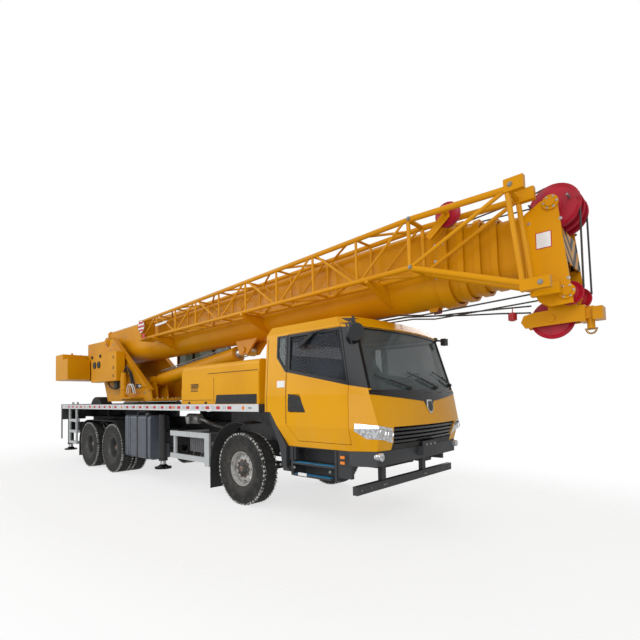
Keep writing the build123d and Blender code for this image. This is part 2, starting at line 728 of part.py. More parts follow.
def cab_interior():
    """Dashboard, two seats, and the steering wheel on its column."""
    dash = side_plate(((2010, 900), (2010, 1560), (2120, 1640), (2500, 1640), (2500, 900)), -1300, 1300)
    dash &= cab_form(74, 40, 40)
    seats = []
    for y in (-600, 600):
        cushion = span(1150, 1650, y - 240, y + 240, 1400, 1520)
        back = side_plate(((1000, 1480), (1130, 1480), (1080, 2150), (970, 2150)), y - 230, y + 230)
        base = span(1200, 1600, y - 160, y + 160, CAB_FLOOR, 1405)
        seats += [join(cushion, back, base, span(1100, 1200, y - 200, y + 200, 1420, 1500))]
    column = rod((2080, 600, 1560), (1860, 600, 1780), 30)
    ring = Plane(origin=(1850, 600, 1790), z_dir=(-1, 0, 1)) * Torus(215, 16)
    spokes = Plane(origin=(1850, 600, 1790), z_dir=(-1, 0, 1)) * Box(40, 420, 16)
    return join(dash, column, ring, spokes, *seats)


keep("cab_interior", cab_interior())


def headlamps():
    """Lens blocks that fill the openings at the corners."""
    skin = cab_form(-4, 0, 0) - cab_form(70, 30, 30)
    lens = skin & front_cut(HEADLAMP, LAMP_BACK)
    round_lamp = disc_x(1010, 905, 2300, 2410, 48)
    side_markers = [span(1985, 2045, 1240, HALF_WIDTH + 4, z, z + 34) for z in (880, 815)]
    tail = [span(DECK_REAR - 92, DECK_REAR - 80, 700, 1180, 1290, 1400)]
    return both(lens, round_lamp, *side_markers, *tail)


keep("lamps", headlamps())


def grille():
    """Slats behind the opening, and the dark mask below the windscreen."""
    backing = (cab_form(45, 30, 30) - cab_form(60, 30, 30)) & front_cut(GRILLE, 2200)
    slat_skin = cab_form(6, 0, 0) - cab_form(60, 30, 30)
    slats = [slat_skin & front_cut(((-835, z), (835, z), (835, z + 26), (-835, z + 26)), 2200)
             for z in (1050, 1100, 1150, 1200)]
    slats = [slat & front_cut(GRILLE, 2200) for slat in slats]
    mask_skin = cab_form(-5) - cab_outside
    mask = mask_skin & front_cut(((-1125, 1690), (-1130, 1640), (-130, 1545), (-70, 1445), (70, 1445),
                                  (130, 1545), (1130, 1640), (1125, 1690)))
    return join(backing, *slats, mask)


keep("grille", grille())

# ---------------------------------------------------------------- bumper, steps and underrun bar
BUMPER_BOTTOM = 790
BUMPER_TOP = 966
TOW_PIN_X = 2425
TOW_PIN_RADIUS = 21


def bumper():
    """The dark skirt below the cab, with step wells, steps and the bar held low in front."""
    low = list(CAB_SECTIONS[0])
    low[0] = BUMPER_BOTTOM
    low[5] -= 60
    high = list(CAB_SECTIONS[0])
    high[0] = BUMPER_TOP
    skirt = loft([cab_outline(low, 0), cab_outline(high, 0)], ruled=True)
    skirt -= loft([cab_outline(low, 60), cab_outline(high, 60)], ruled=True)
    skirt &= span(1085, 2700, -1300, 1300, 700, 1000)
    skirt -= span(1200, 1880, -1300, 1300, 700, 960)
    slope_plate = side_plate(
        ((CAB_BACK + 60, 1420), (760, 1420), (1070, 972), (1070, 700), (1150, 640), (1010, 640), (940, 960)),
        980, 1245,
    )
    treads = [
        span(1140, 1900, 960, 1215, 740, 765), span(1180, 1820, 1060, 1230, 590, 615),
        span(1130, 1165, 960, 1215, 590, BUMPER_TOP), span(1870, 1900, 960, 1215, 590, BUMPER_TOP),
        span(1130, 1900, 960, 985, 590, BUMPER_TOP), span(1100, 1170, 975, 1215, 640, 700),
    ]
    panel = span(1880, 2110, 1150, 1200, 640, 800)
    arms = [span(x, x + 60, RAIL_OUTSIDE, 1000, 820, 880) for x in (1160, 1900)]
    skirt_parts = both(slope_plate, *treads, panel, *arms)
    plate = join(span(2370, 2500, -190, 190, 850, BUMPER_TOP), span(2480, 2500, -190, 190, 880, 1030))
    bar = span(2150, 2215, -1240, 1240, 470, 570)
    posts = [span(2140, 2200, y - 45, y + 45, 540, 900) for y in (-650, 390)]
    hangers = [span(FRONT_RAIL_END, 2200, y - 45, y + 45, 820, 900) for y in (-390, 390)]
    cross = span(2020, 2145, -720, 460, 830, 900)
    front_link = span(2140, 2400, -120, 120, 860, 900)
    tow_bore = disc_z(TOW_PIN_X, 0, 700, 1100, TOW_PIN_RADIUS)
    return join(skirt, skirt_parts, plate, bar, *posts, *hangers, cross, front_link) - tow_bore


keep("bumper", bumper() - NODES["lamps"])


def mirrors():
    """Round kerb mirror beyond the windscreen's corner and a small mirror on the left."""
    arms = [
        rod((2070, -1085, 2490), (2125, -1135, 2575), 14), rod((2125, -1135, 2575), (2180, -1165, 2470), 14),
        rod((2070, 1085, 2490), (2190, 1150, 2460), 14),
    ]
    kerb = Plane(origin=(2175, -1160, 2385), z_dir=(1, -0.35, -0.35)) * Cylinder(108, 40)
    left_mirror = span(2165, 2235, 1095, 1205, 2395, 2500)
    return join(*ARM_FEET, *arms, kerb, left_mirror)


keep("mirrors", mirrors())


# ---------------------------------------------------------------- the turret
def turret():
    """Two tall plates on a round base, with bored lugs for the boom and the lift cylinder."""
    base = disc_z(SLEW_X, 0, TURRET_FLOOR, TURRET_FLOOR + 60, RING_RADIUS + 60)
    base += span(-6380, -3950, -TURRET_INSIDE - TURRET_PLATE, TURRET_INSIDE + TURRET_PLATE, TURRET_FLOOR,
                 TURRET_FLOOR + 60)
    neck = disc_z(SLEW_X, 0, RING_BASE + RING_HEIGHT + CLEARANCE, TURRET_FLOOR + 10, RING_RADIUS - 30)
    outside = TURRET_INSIDE + TURRET_PLATE
    plate = side_plate(
        ((-6380, TURRET_FLOOR), (-6640, 2150), (-7800, 2280), (-7780, TURRET_TOP), (-5960, TURRET_TOP - 20),
         (-4020, 1860), (-3950, TURRET_FLOOR)),
        TURRET_INSIDE, outside,
    )
    brace = side_plate(
        ((-5990, TURRET_TOP - 20), (-5930, TURRET_TOP - 20), (-3990, 1860), (-4050, 1860)),
        TURRET_INSIDE - 40, outside + 60,
    )
    boss = disc_y(PIVOT_X, PIVOT_Z, TURRET_INSIDE, outside + 30, PIVOT_RADIUS + 50)
    pivot_bore = disc_y(PIVOT_X, PIVOT_Z, TURRET_INSIDE - 1, outside + 31, PIVOT_RADIUS + PIN_FIT)
    lug = side_plate(
        ((LIFT_FOOT_X - 260, TURRET_FLOOR + 50), (LIFT_FOOT_X - 110, LIFT_FOOT_Z + 110),
         (LIFT_FOOT_X + 110, LIFT_FOOT_Z + 110), (LIFT_FOOT_X + 260, TURRET_FLOOR + 50)),
        EYE_WIDTH / 2 + CLEARANCE, EYE_WIDTH / 2 + CLEARANCE + 45,
    )
    cross_plates = [
        span(-7790, -7760, -TURRET_INSIDE - 5, TURRET_INSIDE + 5, 2290, 3000),
        span(-6380, -6350, -TURRET_INSIDE - 5, TURRET_INSIDE + 5, TURRET_FLOOR, 2100),
        span(-7790, -7500, -TURRET_INSIDE - 5, TURRET_INSIDE + 5, 2290, 2320),
    ]
    sides = both(join(plate, brace, boss) - pivot_bore, lug)
    foot_pin = disc_y(LIFT_FOOT_X, LIFT_FOOT_Z, -EYE_WIDTH / 2 - 90, EYE_WIDTH / 2 + 90, LIFT_PIN_RADIUS)
    return join(base, neck, sides, foot_pin, *cross_plates)


keep("turret_frame", turret())


def counterweight():
    """A cast block across the tail with two shorter arms that reach forward."""
    corner = 150
    tail = COUNTERWEIGHT_TAIL
    half = COUNTERWEIGHT_HALF
    block = floor_plate(
        ((tail, -half + corner), (tail, half - corner), (tail + corner, half), (-7830, half), (-7830, -half),
         (tail + corner, -half)),
        COUNTERWEIGHT_BOTTOM, COUNTERWEIGHT_TOP,
    )
    arm = span(-7840, COUNTERWEIGHT_FRONT, 620, half, COUNTERWEIGHT_BOTTOM, COUNTERWEIGHT_TOP - 150)
    eye = disc_y(-8100, COUNTERWEIGHT_TOP + 30, -900, -870, 48) - disc_y(-8100, COUNTERWEIGHT_TOP + 30, -901, -869, 22)
    link = span(-7835, -7800, -TURRET_INSIDE, TURRET_INSIDE, 2300, 2900)
    return join(block, both(arm), both(eye), link)


keep("counterweight", counterweight())


def turret_boxes():
    """The valve locker on the right flank, the slewing gearbox and the work lamp."""
    outside = TURRET_INSIDE + TURRET_PLATE
    locker = span(-6760, -5180, -850, -outside - 66, 2110, 2830)
    locker = fillet(locker.edges().filter_by(Axis.Z), 20)
    locker_back = span(-6640, -5700, -outside - 70, -outside, 2350, 2750)
    shelf_top = TURRET_FLOOR + 60 + 30
    shelf = span(-5100, -4350, -880, -outside, TURRET_FLOOR + 60, shelf_top)
    gearbox = disc_z(-4930, -770, shelf_top, 2200, 72)
    rings = [
        disc_z(-4930, -770, shelf_top, shelf_top + 40, 105), disc_z(-4930, -770, 1880, 1910, 90),
        disc_z(-4930, -770, 2200, 2290, 58),
    ]
    lamp = span(-4230, -4130, -800, -720, 1890, 1990)
    lamp_arm = span(-4200, -4160, -725, -outside, 1900, 1930)
    return join(locker, locker_back, gearbox, *rings, shelf, lamp, lamp_arm)


keep("turret_boxes", turret_boxes())

WINCHES = (
    # station, height, drum radius
    (-7420, 2780, 190),
    (-7060, 2440, 170),
)


def winch(x, z, radius):
    """A rope drum between two flanges, carried on the side plates."""
    inside = TURRET_INSIDE - CLEARANCE
    drum = disc_y(x, z, -inside + 60, inside - 60, radius)
    flanges = [disc_y(x, z, y, y + 25, radius + 60) for y in (-inside + 60, inside - 85)]
    shaft = disc_y(x, z, -TURRET_INSIDE, TURRET_INSIDE, 50)
    return join(drum, *flanges, shaft)


keep("winches", *[winch(*row) for row in WINCHES])

# ---------------------------------------------------------------- the operator's cab
OP_REAR = -4900
OP_FRONT = -3020
OP_INSIDE = 660
OP_OUTSIDE = 1236
OP_FLOOR = 1760
OP_ROOF = 3090
OP_WALL = 35
OP_PROFILE = (
    (OP_REAR, OP_FLOOR), (OP_REAR, OP_ROOF - 60), (OP_REAR + 60, OP_ROOF), (OP_FRONT - 420, OP_ROOF),
    (OP_FRONT - 300, OP_ROOF - 70), (OP_FRONT, 2250), (OP_FRONT, 1980), (OP_FRONT - 160, OP_FLOOR),
)
OP_SIDE_WINDOW = ((OP_REAR + 90, 2330), (-4160, 2330), (-4160, 2960), (OP_REAR + 130, 2960))
OP_FRONT_SIDE = ((-4060, 2130), (OP_FRONT - 80, 2130), (OP_FRONT - 350, 2960), (-4060, 2960))
OP_DOOR = ((-4760, 1830), (-3960, 1830), (-3960, 2960), (-4760, 2960))
OP_DOOR_WINDOW = ((-4690, 2180), (-4030, 2180), (-4030, 2900), (-4690, 2900))


def operator_cab():
    """A narrow cab beside the boom: shell, glass, seat and a door that slides back."""
    y0, y1 = OP_INSIDE, OP_OUTSIDE - 40
    outer = side_plate(OP_PROFILE, y0, y1)
    face = make_face(Polyline(*OP_PROFILE, close=True))

    def shrunk(inset, ya, yb):
        smaller = Plane.XZ.offset(-yb) * offset(face, amount=-inset, kind=Kind.INTERSECTION)
        return extrude(smaller, amount=yb - ya, dir=(0, -1, 0))

    inner = shrunk(OP_WALL, y0 + OP_WALL, y1 - OP_WALL)
    pane_outer = shrunk(10, y0 + 10, y1 - 10)
    pane_skin = pane_outer - shrunk(10 + GLASS_THICKNESS, y0 + 10 + GLASS_THICKNESS, y1 - 10 - GLASS_THICKNESS)
    inner_windows = [side_plate(p, y0 - 10, y0 + 60) for p in (OP_SIDE_WINDOW, OP_FRONT_SIDE)]
    outer_window = side_plate(OP_FRONT_SIDE, y1 - 60, y1 + 10)
    middle = (y0 + y1) / 2
    front_window = front_plate(
        ((y0 + 50, 2040), (y1 - 50, 2040), (y1 - 50, 2960), (y0 + 50, 2960)), OP_FRONT - 420, OP_FRONT + 20)
    roof_window = span(-4500, -3600, y0 + 70, y1 - 70, OP_ROOF - 60, OP_ROOF + 20)
    rear_window = front_plate(
        ((y0 + 70, 2400), (y1 - 70, 2400), (y1 - 70, 2900), (y0 + 70, 2900)), OP_REAR - 10, OP_REAR + 60)
    windows = [*inner_windows, outer_window, front_window, roof_window, rear_window]
    doorway = side_plate(OP_DOOR, y1 - 60, y1 + 10)
    seat = join(
        span(-4500, -4050, middle - 200, middle + 200, 2110, 2210),
        span(-4600, -4490, middle - 190, middle + 190, 2160, 2800),
        span(-4420, -4150, middle - 140, middle + 140, OP_FLOOR + 10, 2115),
    )
    bracket = span(-4800, -4200, TURRET_INSIDE + TURRET_PLATE, y0 + 100, TURRET_FLOOR + 60, OP_FLOOR)
    keep("operator_cab", outer - inner - windows - doorway, seat, bracket)
    keep("operator_glass", *[pane_skin & window for window in windows])
    grow = 25
    (rear, low), (front, _), (_, high), _ = OP_DOOR
    door = span(rear - grow, front + grow, y1 + CLEARANCE, OP_OUTSIDE, low - grow, high + grow)
    door -= side_plate(OP_DOOR_WINDOW, y1, OP_OUTSIDE + 10)
    keep("operator_door", door)
    pane = side_plate(OP_DOOR_WINDOW, y1 + CLEARANCE + 10, y1 + CLEARANCE + 18)
    keep("operator_door_glass", pane)


operator_cab()


# ---------------------------------------------------------------- the boom
def on_boom(shape):
    """Places a shape, drawn from the boom's pivot with the boom along X, on the machine."""
    return Pos(PIVOT_X, 0, PIVOT_Z) * Rot(0, -BOOM_TILT, 0) * shape


def boom_face(inset):
    """The boom's section: flat top with cut corners, and a round belly."""
    half = BOOM_HALF_WIDTH - inset
    top = BOOM_TOP - inset
    bottom = BOOM_BOTTOM + inset
    corner = 50
    outline = (
        Polyline((-half, bottom + half), (-half, top - corner), (-half + corner, top), (half - corner, top),
                 (half, top - corner), (half, bottom + half))
        + ThreePointArc((half, bottom + half), (0, bottom), (-half, bottom + half))
    )
    return make_face(outline)


def boom_bar(inset, start, end):
    """A solid bar of the boom's section."""
    return extrude(Plane.YZ.offset(start) * boom_face(inset), amount=end - start, dir=(1, 0, 0))


def boom_tube(inset, start, end):
    """A tube of the boom's section."""
    return boom_bar(inset, start, end) - boom_bar(inset + BOOM_WALL, start - 1, end + 1)


BOOM_FRONT = BOOM_TAIL + BOOM_LENGTH
STEP = BOOM_WALL + BOOM_GAP


def base_section():
    """The outer section with its pivot, cylinder bracket, front collar, jib brackets and rope guide."""
    tube = boom_tube(0, BOOM_TAIL, BOOM_FRONT)
    collar = boom_bar(-32, BOOM_FRONT - 160, BOOM_FRONT) - boom_bar(5, BOOM_FRONT - 161, BOOM_FRONT + 1)
    tail_ring = boom_bar(-20, BOOM_TAIL, BOOM_TAIL + 60) - boom_bar(5, BOOM_TAIL - 1, BOOM_TAIL + 61)
    boss = disc_y(0, 0, BOOM_HALF_WIDTH - 5, TURRET_INSIDE - CLEARANCE, PIVOT_RADIUS + 60)
    pin = disc_y(0, 0, TURRET_INSIDE - CLEARANCE - 5, TURRET_INSIDE + TURRET_PLATE + 60, PIVOT_RADIUS)
    cheek = side_plate(
        ((LIFT_HEAD_X - 230, BOOM_BOTTOM + 60), (LIFT_HEAD_X - 110, LIFT_HEAD_Z - 90),
         (LIFT_HEAD_X + 110, LIFT_HEAD_Z - 90), (LIFT_HEAD_X + 420, BOOM_BOTTOM + 60)),
        EYE_WIDTH / 2 + CLEARANCE, EYE_WIDTH / 2 + CLEARANCE + 40,
    )
    cheek -= boom_bar(5, LIFT_HEAD_X - 600, LIFT_HEAD_X + 600)
    pin_head = disc_y(LIFT_HEAD_X, LIFT_HEAD_Z, EYE_WIDTH / 2 + CLEARANCE + 35, EYE_WIDTH / 2 + CLEARANCE + 70, 62)
    guide = side_plate(
        ((BOOM_FRONT - 260, BOOM_TOP - 5), (BOOM_FRONT - 90, BOOM_TOP + 190), (BOOM_FRONT - 30, BOOM_TOP + 190),
         (BOOM_FRONT - 60, BOOM_TOP - 5)),
        60, 75,
    )
    lug = side_plate(
        ((BOOM_FRONT - 400, BOOM_BOTTOM + 40), (BOOM_FRONT - 380, BOOM_BOTTOM - 60),
         (BOOM_FRONT - 290, BOOM_BOTTOM - 60), (BOOM_FRONT - 250, BOOM_BOTTOM + 40)), 50, 62,
    )
    lug -= boom_bar(5, BOOM_FRONT - 500, BOOM_FRONT)
    return join(tube, collar, tail_ring, both(boss, pin, cheek, pin_head, guide, lug))


keep("boom_base", on_boom(base_section()))


def inner_section(number):
    """One telescoping section with its front collar."""
    inset = number * STEP
    end = BOOM_FRONT + number * SECTION_STICKOUT
    tube = boom_tube(inset, BOOM_TAIL + 60 + 80 * number, end)
    collar = boom_bar(inset - 22, end - 70, end) - boom_bar(inset + 5, end - 71, end + 1)
    return tube, collar


for number in range(1, SECTION_COUNT):
    keep(f"boom_section_{number + 1}", on_boom(join(*inner_section(number))))

HEAD_X = BOOM_FRONT + SECTION_COUNT * SECTION_STICKOUT
TOP_SHEAVE = (HEAD_X + 380, 210)
LOW_SHEAVE = (HEAD_X + 480, -730)
NOSE_SHEAVE = (HEAD_X + 270, -945)


def boom_head():
    """The last section with its head plates, sheave pins and the single-line nose below."""
    tube, _ = inner_section(SECTION_COUNT)
    tube += boom_tube(SECTION_COUNT * STEP, HEAD_X - 10, HEAD_X + 130)
    plate = side_plate(
        ((HEAD_X + 130, 160), (HEAD_X + 130, -560), (HEAD_X + 230, -800), (HEAD_X + 330, -860),
         (HEAD_X + 530, -850), (HEAD_X + 440, 190), (HEAD_X + 390, 260), (HEAD_X + 290, 250)),
        HEAD_HALF - HEAD_PLATE, HEAD_HALF,
    )
    bulkhead = span(HEAD_X + 115, HEAD_X + 145, -HEAD_HALF + 5, HEAD_HALF - 5, -600, 40)
    face_board = side_plate(
        ((HEAD_X + 490, -420), (HEAD_X + 457, -60), (HEAD_X + 441, -60), (HEAD_X + 474, -420)),
        -HEAD_HALF + 5, HEAD_HALF - 5,
    )
    pins = [disc_y(x, z, -HEAD_HALF - 35, HEAD_HALF + 35, 45) for x, z in (TOP_SHEAVE, LOW_SHEAVE)]
    bosses = [disc_y(x, z, HEAD_HALF - 5, HEAD_HALF + 20, 75) for x, z in (TOP_SHEAVE, LOW_SHEAVE)]
    ear = side_plate(
        ((HEAD_X + 240, -740), (HEAD_X + 520, -780), (HEAD_X + 500, -900), (HEAD_X + 260, -900)), 70, 100)
    nose = side_plate(
        ((HEAD_X + 10, -880), (HEAD_X + 100, -860), (HEAD_X + 540, -850), (HEAD_X + 560, -1010),
         (HEAD_X + 20, -1020), (HEAD_X - 20, -950)),
        75, 100,
    )
    nose_pin = disc_y(*NOSE_SHEAVE, -115, 115, 40)
    block = span(HEAD_X + 530, HEAD_X + 580, -100, 100, -1020, -850)
    spacer = span(HEAD_X + 560, HEAD_X + 660, -45, 45, -990, -880)
    end_box = span(HEAD_X + 640, HEAD_X + 725, -90, 90, -1010, -880)
    hanger = disc_z(HEAD_X + 610, 0, -1090, -860, 35)
    cross_bar = span(HEAD_X + 250, HEAD_X + 285, 70, HEAD_HALF - 5, -820, -600)
    return join(tube, both(plate, *bosses, ear, nose, cross_bar), bulkhead, face_board, *pins, nose_pin, block,
                spacer, end_box, hanger)


keep("boom_head", on_boom(boom_head()))

SHEAVES = (
    # centre, radius, places across the boom
    (TOP_SHEAVE, SHEAVE_RADIUS, (-170, 0, 170)),
    (LOW_SHEAVE, 120, (-200, 200)),
    (NOSE_SHEAVE, NOSE_SHEAVE_RADIUS, (0,)),
)


def sheave(radius, bore):
    """A grooved rope wheel on its pin, its axis along Y."""
    face = make_face(Polyline(
        (bore, -24), (bore + 30, -24), (bore + 30, -9), (radius - 40, -9), (radius - 4, -24), (radius, -20),
        (radius - 24, -4), (radius - 24, 4), (radius, 20), (radius - 4, 24), (radius - 40, 9), (bore + 30, 9),
        (bore + 30, 24), (bore, 24), close=True))
    return revolve(face, Axis.Y)


def sheave_set():
    """All rope wheels of the head as separate solids."""
    wheels = []
    for (x, z), radius, places in SHEAVES:
        bore = 40 if radius == NOSE_SHEAVE_RADIUS else 45
        wheels += [Pos(x, y, z) * sheave(radius, bore) for y in places]
    return Compound(children=[solid for shape in wheels for solid in shape.solids()])


keep("head_sheaves", on_boom(sheave_set()))


# ---------------------------------------------------------------- the stowed lattice jib
JIB_BAYS = 9
JIB_MIDDLE_Y = (JIB_INNER_Y + JIB_OUTER_Y) / 2
JIB_WHEEL = (9500, 312)
JIB_PIN_RADIUS = 20


def jib_lattice():
    """The four chords of the stowed jib with their lacing, and the plate at the tip."""
    bars = []
    lines = []
    for y, narrow in ((JIB_INNER_Y, 0), (JIB_OUTER_Y, 60)):
        for rear, front in ((174, 330), (-226, -240)):
            start = (JIB_TIP, y + narrow, rear)
            end = (JIB_KNEE, y, front)
            bars.append(rod(start, end, CHORD_RADIUS))
            lines.append((start, end))

    def along(line, share):
        start, end = line
        return tuple(a + (b - a) * share for a, b in zip(start, end))

    for one, two, gap in ((0, 1, 0.07), (2, 3, 0.07), (0, 2, 0.16), (1, 3, 0.16)):
        for bay in range(JIB_BAYS):
            first, second = (one, two) if bay % 2 else (two, one)
            near, far = (bay + gap) / JIB_BAYS, (bay + 1 - gap) / JIB_BAYS
            bars.append(rod(along(lines[first], near), along(lines[second], far), LACING_RADIUS))
            ends = [along(lines[chord], bay / JIB_BAYS) for chord in (one, two)]
            bars.append(short_rod(*ends, 21, LACING_RADIUS + 2))
    for y in (JIB_INNER_Y, JIB_OUTER_Y):
        bars.append(short_rod((JIB_KNEE, y, 330), (JIB_KNEE, y, -240), 20, 24))
    for z in (330, -240):
        bars.append(short_rod((JIB_KNEE, JIB_INNER_Y, z), (JIB_KNEE, JIB_OUTER_Y, z), 18, 27))
    tip = span(JIB_TIP - 60, JIB_TIP + 40, JIB_OUTER_Y + 30, JIB_INNER_Y + 34, -260, 208)
    return join(*bars, tip)


def jib_frame():
    """The A-frame that goes on from the lattice to forked feet, with the pin of its rope wheel."""
    bars = []
    for y in (JIB_INNER_Y, JIB_OUTER_Y):
        top_end = (JIB_KNEE + 1080, y, 290)
        low_end = (JIB_KNEE + 1180, y, -680)
        bars += [
            rod((JIB_KNEE + 1, y, 330), top_end, CHORD_RADIUS + 3),
            rod((JIB_KNEE + 1, y, -240), low_end, CHORD_RADIUS + 3),
            short_rod(top_end, low_end, 12, 26),
            short_rod((JIB_KNEE, y, -240), top_end, 24, 22),
            span(JIB_KNEE + 1060, JIB_KNEE + 1240, y - 36, y + 36, 250, 380),
            span(JIB_KNEE + 1160, JIB_KNEE + 1420, y - 36, y + 36, -760, -650),
        ]
    for x, z in ((JIB_KNEE + 1080, 290), (JIB_KNEE + 1180, -680)):
        bars.append(short_rod((x, JIB_INNER_Y, z), (x, JIB_OUTER_Y, z), 18, 27))
    wheel_x, wheel_z = JIB_WHEEL
    pin = disc_y(wheel_x, wheel_z, JIB_OUTER_Y, JIB_INNER_Y, JIB_PIN_RADIUS)
    cheek = ((wheel_x + 40, wheel_z - 40), (wheel_x + 20, wheel_z + 45), (wheel_x - 45, wheel_z + 20),
             (wheel_x - 260, wheel_z - 190), (wheel_x - 200, wheel_z - 240))
    cheeks = [side_plate(cheek, y, y + 12) for y in (JIB_MIDDLE_Y - 45, JIB_MIDDLE_Y + 33)]
    return join(*bars, pin, *cheeks)


def jib_bracket(x):
    """An arm that carries the jib's lower chords from the boom's side."""
    arm = front_plate(
        ((-200, -290), (-200, -540), (JIB_OUTER_Y - 20, -285), (JIB_OUTER_Y - 20, -250), (JIB_INNER_Y, -250)),
        x - 25, x + 25,
    )
    return arm - boom_bar(0, x - 60, x + 60)


lattice = join(jib_lattice(), *[jib_bracket(x) for x in (3000, 6000, 8500)])
keep("jib", on_boom(lattice))
keep("jib_frame", on_boom(jib_frame() - lattice))
keep("jib_sheave", on_boom(Pos(JIB_WHEEL[0], JIB_MIDDLE_Y, JIB_WHEEL[1]) * sheave(140, JIB_PIN_RADIUS)))


def hook_block():
    """The stowed hook block: cheek plates, sheaves and the hook, lashed under the boom."""
    x, z = 6700, BOOM_BOTTOM - 200
    cheeks = [span(x - 190, x + 190, y, y + 20, z - 60, z + 60) for y in (90, 230)]
    wheels = [disc_y(x, z, y, y + 40, 50) for y in (110, 190)]
    block = span(x - 60, x + 60, 100, 240, z - 55, z + 55)
    strap = span(x - 25, x + 25, 150, 190, z + 40, BOOM_BOTTOM + 60) - boom_bar(0, x - 60, x + 60)
    hook = disc_x(170, z, x - 290, x - 180, 28)
    return join(*cheeks, *wheels, block, strap, hook)


keep("hook_block", on_boom(hook_block()))


# ---------------------------------------------------------------- the lift cylinder
lift_head = on_boom(Pos(LIFT_HEAD_X, 0, LIFT_HEAD_Z) * Sphere(1)).center()
LIFT_ANGLE = math.degrees(math.atan2(lift_head.Z - LIFT_FOOT_Z, lift_head.X - LIFT_FOOT_X))
LIFT_CLOSED = math.hypot(lift_head.Z - LIFT_FOOT_Z, lift_head.X - LIFT_FOOT_X)


def on_lift(shape):
    """Places a shape, drawn from the cylinder's foot along X, on the machine."""
    return Pos(LIFT_FOOT_X, 0, LIFT_FOOT_Z) * Rot(0, -LIFT_ANGLE, 0) * shape


def lift_barrel():
    """The barrel with its eye at the foot and a gland at the open end."""
    eye = disc_y(0, 0, -EYE_WIDTH / 2, EYE_WIDTH / 2, EYE_RADIUS + 10)
    neck = span(0, 230, -EYE_WIDTH / 2, EYE_WIDTH / 2, -95, 95)
    tube = disc_x(0, 0, 205, BARREL_LENGTH, BARREL_RADIUS)
    gland = disc_x(0, 0, BARREL_LENGTH - 90, BARREL_LENGTH, BARREL_RADIUS + 8)
    bore = disc_x(0, 0, 260, BARREL_LENGTH + 1, ROD_RADIUS + 1)
    eye_bore = disc_y(0, 0, -EYE_WIDTH, EYE_WIDTH, LIFT_PIN_RADIUS + PIN_FIT)
    return join(eye, neck, tube, gland) - bore - eye_bore


def lift_rod():
    """The rod with its eye."""
    shaft = disc_x(0, 0, 320, LIFT_CLOSED - 60, ROD_RADIUS)
    eye = disc_y(LIFT_CLOSED, 0, -EYE_WIDTH / 2, EYE_WIDTH / 2, EYE_RADIUS)
    shaft &= span(0, LIFT_CLOSED, -ROD_RADIUS, ROD_RADIUS, -ROD_RADIUS, ROD_RADIUS)
    return join(shaft, eye) - disc_y(LIFT_CLOSED, 0, -EYE_WIDTH, EYE_WIDTH, LIFT_PIN_RADIUS)


keep("lift_barrel", on_lift(lift_barrel()))
keep("lift_rod", on_lift(lift_rod()))


# ---------------------------------------------------------------- export
ends = [NODES[name].bounding_box() for name in NODES]
MIDDLE = (min(end.min.X for end in ends) + max(end.max.X for end in ends)) / 2
for name, shape in NODES.items():
    export_step(Pos(-MIDDLE, 0, 0) * shape, os.path.join("parts", name + ".step"))
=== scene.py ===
# %% [markdown]
# # A three-axle truck crane
#
# This lesson dresses a finished CAD model of a truck crane in paint, rubber, glass and rigging. The CAD
# gives every main form and every moving body. Blender adds what a shop would fit or spray on last: tread,
# bolts, hoses, ropes, reflectors and the finishes. All sizes are in metres, in the CAD model's own frame,
# with +X forward, +Y to the left and +Z up.

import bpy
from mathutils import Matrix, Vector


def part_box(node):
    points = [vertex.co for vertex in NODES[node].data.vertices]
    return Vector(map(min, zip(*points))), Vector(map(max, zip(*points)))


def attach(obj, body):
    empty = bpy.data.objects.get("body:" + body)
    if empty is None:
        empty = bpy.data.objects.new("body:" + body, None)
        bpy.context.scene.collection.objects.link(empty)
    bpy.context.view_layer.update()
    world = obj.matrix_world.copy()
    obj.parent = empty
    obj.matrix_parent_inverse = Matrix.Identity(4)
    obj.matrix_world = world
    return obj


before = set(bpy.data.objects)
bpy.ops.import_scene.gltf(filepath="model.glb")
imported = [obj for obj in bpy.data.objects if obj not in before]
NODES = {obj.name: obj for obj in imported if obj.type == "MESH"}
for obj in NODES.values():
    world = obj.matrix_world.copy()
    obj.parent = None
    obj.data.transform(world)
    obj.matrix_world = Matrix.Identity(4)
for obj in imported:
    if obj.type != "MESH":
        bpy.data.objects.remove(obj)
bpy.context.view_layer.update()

import math

import bmesh
import bpy
from mathutils import Matrix, Vector

# %% [markdown]
# ## Shader arithmetic
#
# A paint is a small sum: base colour, plus dust where dust settles, minus gloss where it is worn. Blender
# writes such a sum as a net of Math nodes, which is slow to lay out by hand. One small class stands for a
# socket instead, so that a sum can be typed as a sum and the nodes appear by themselves.

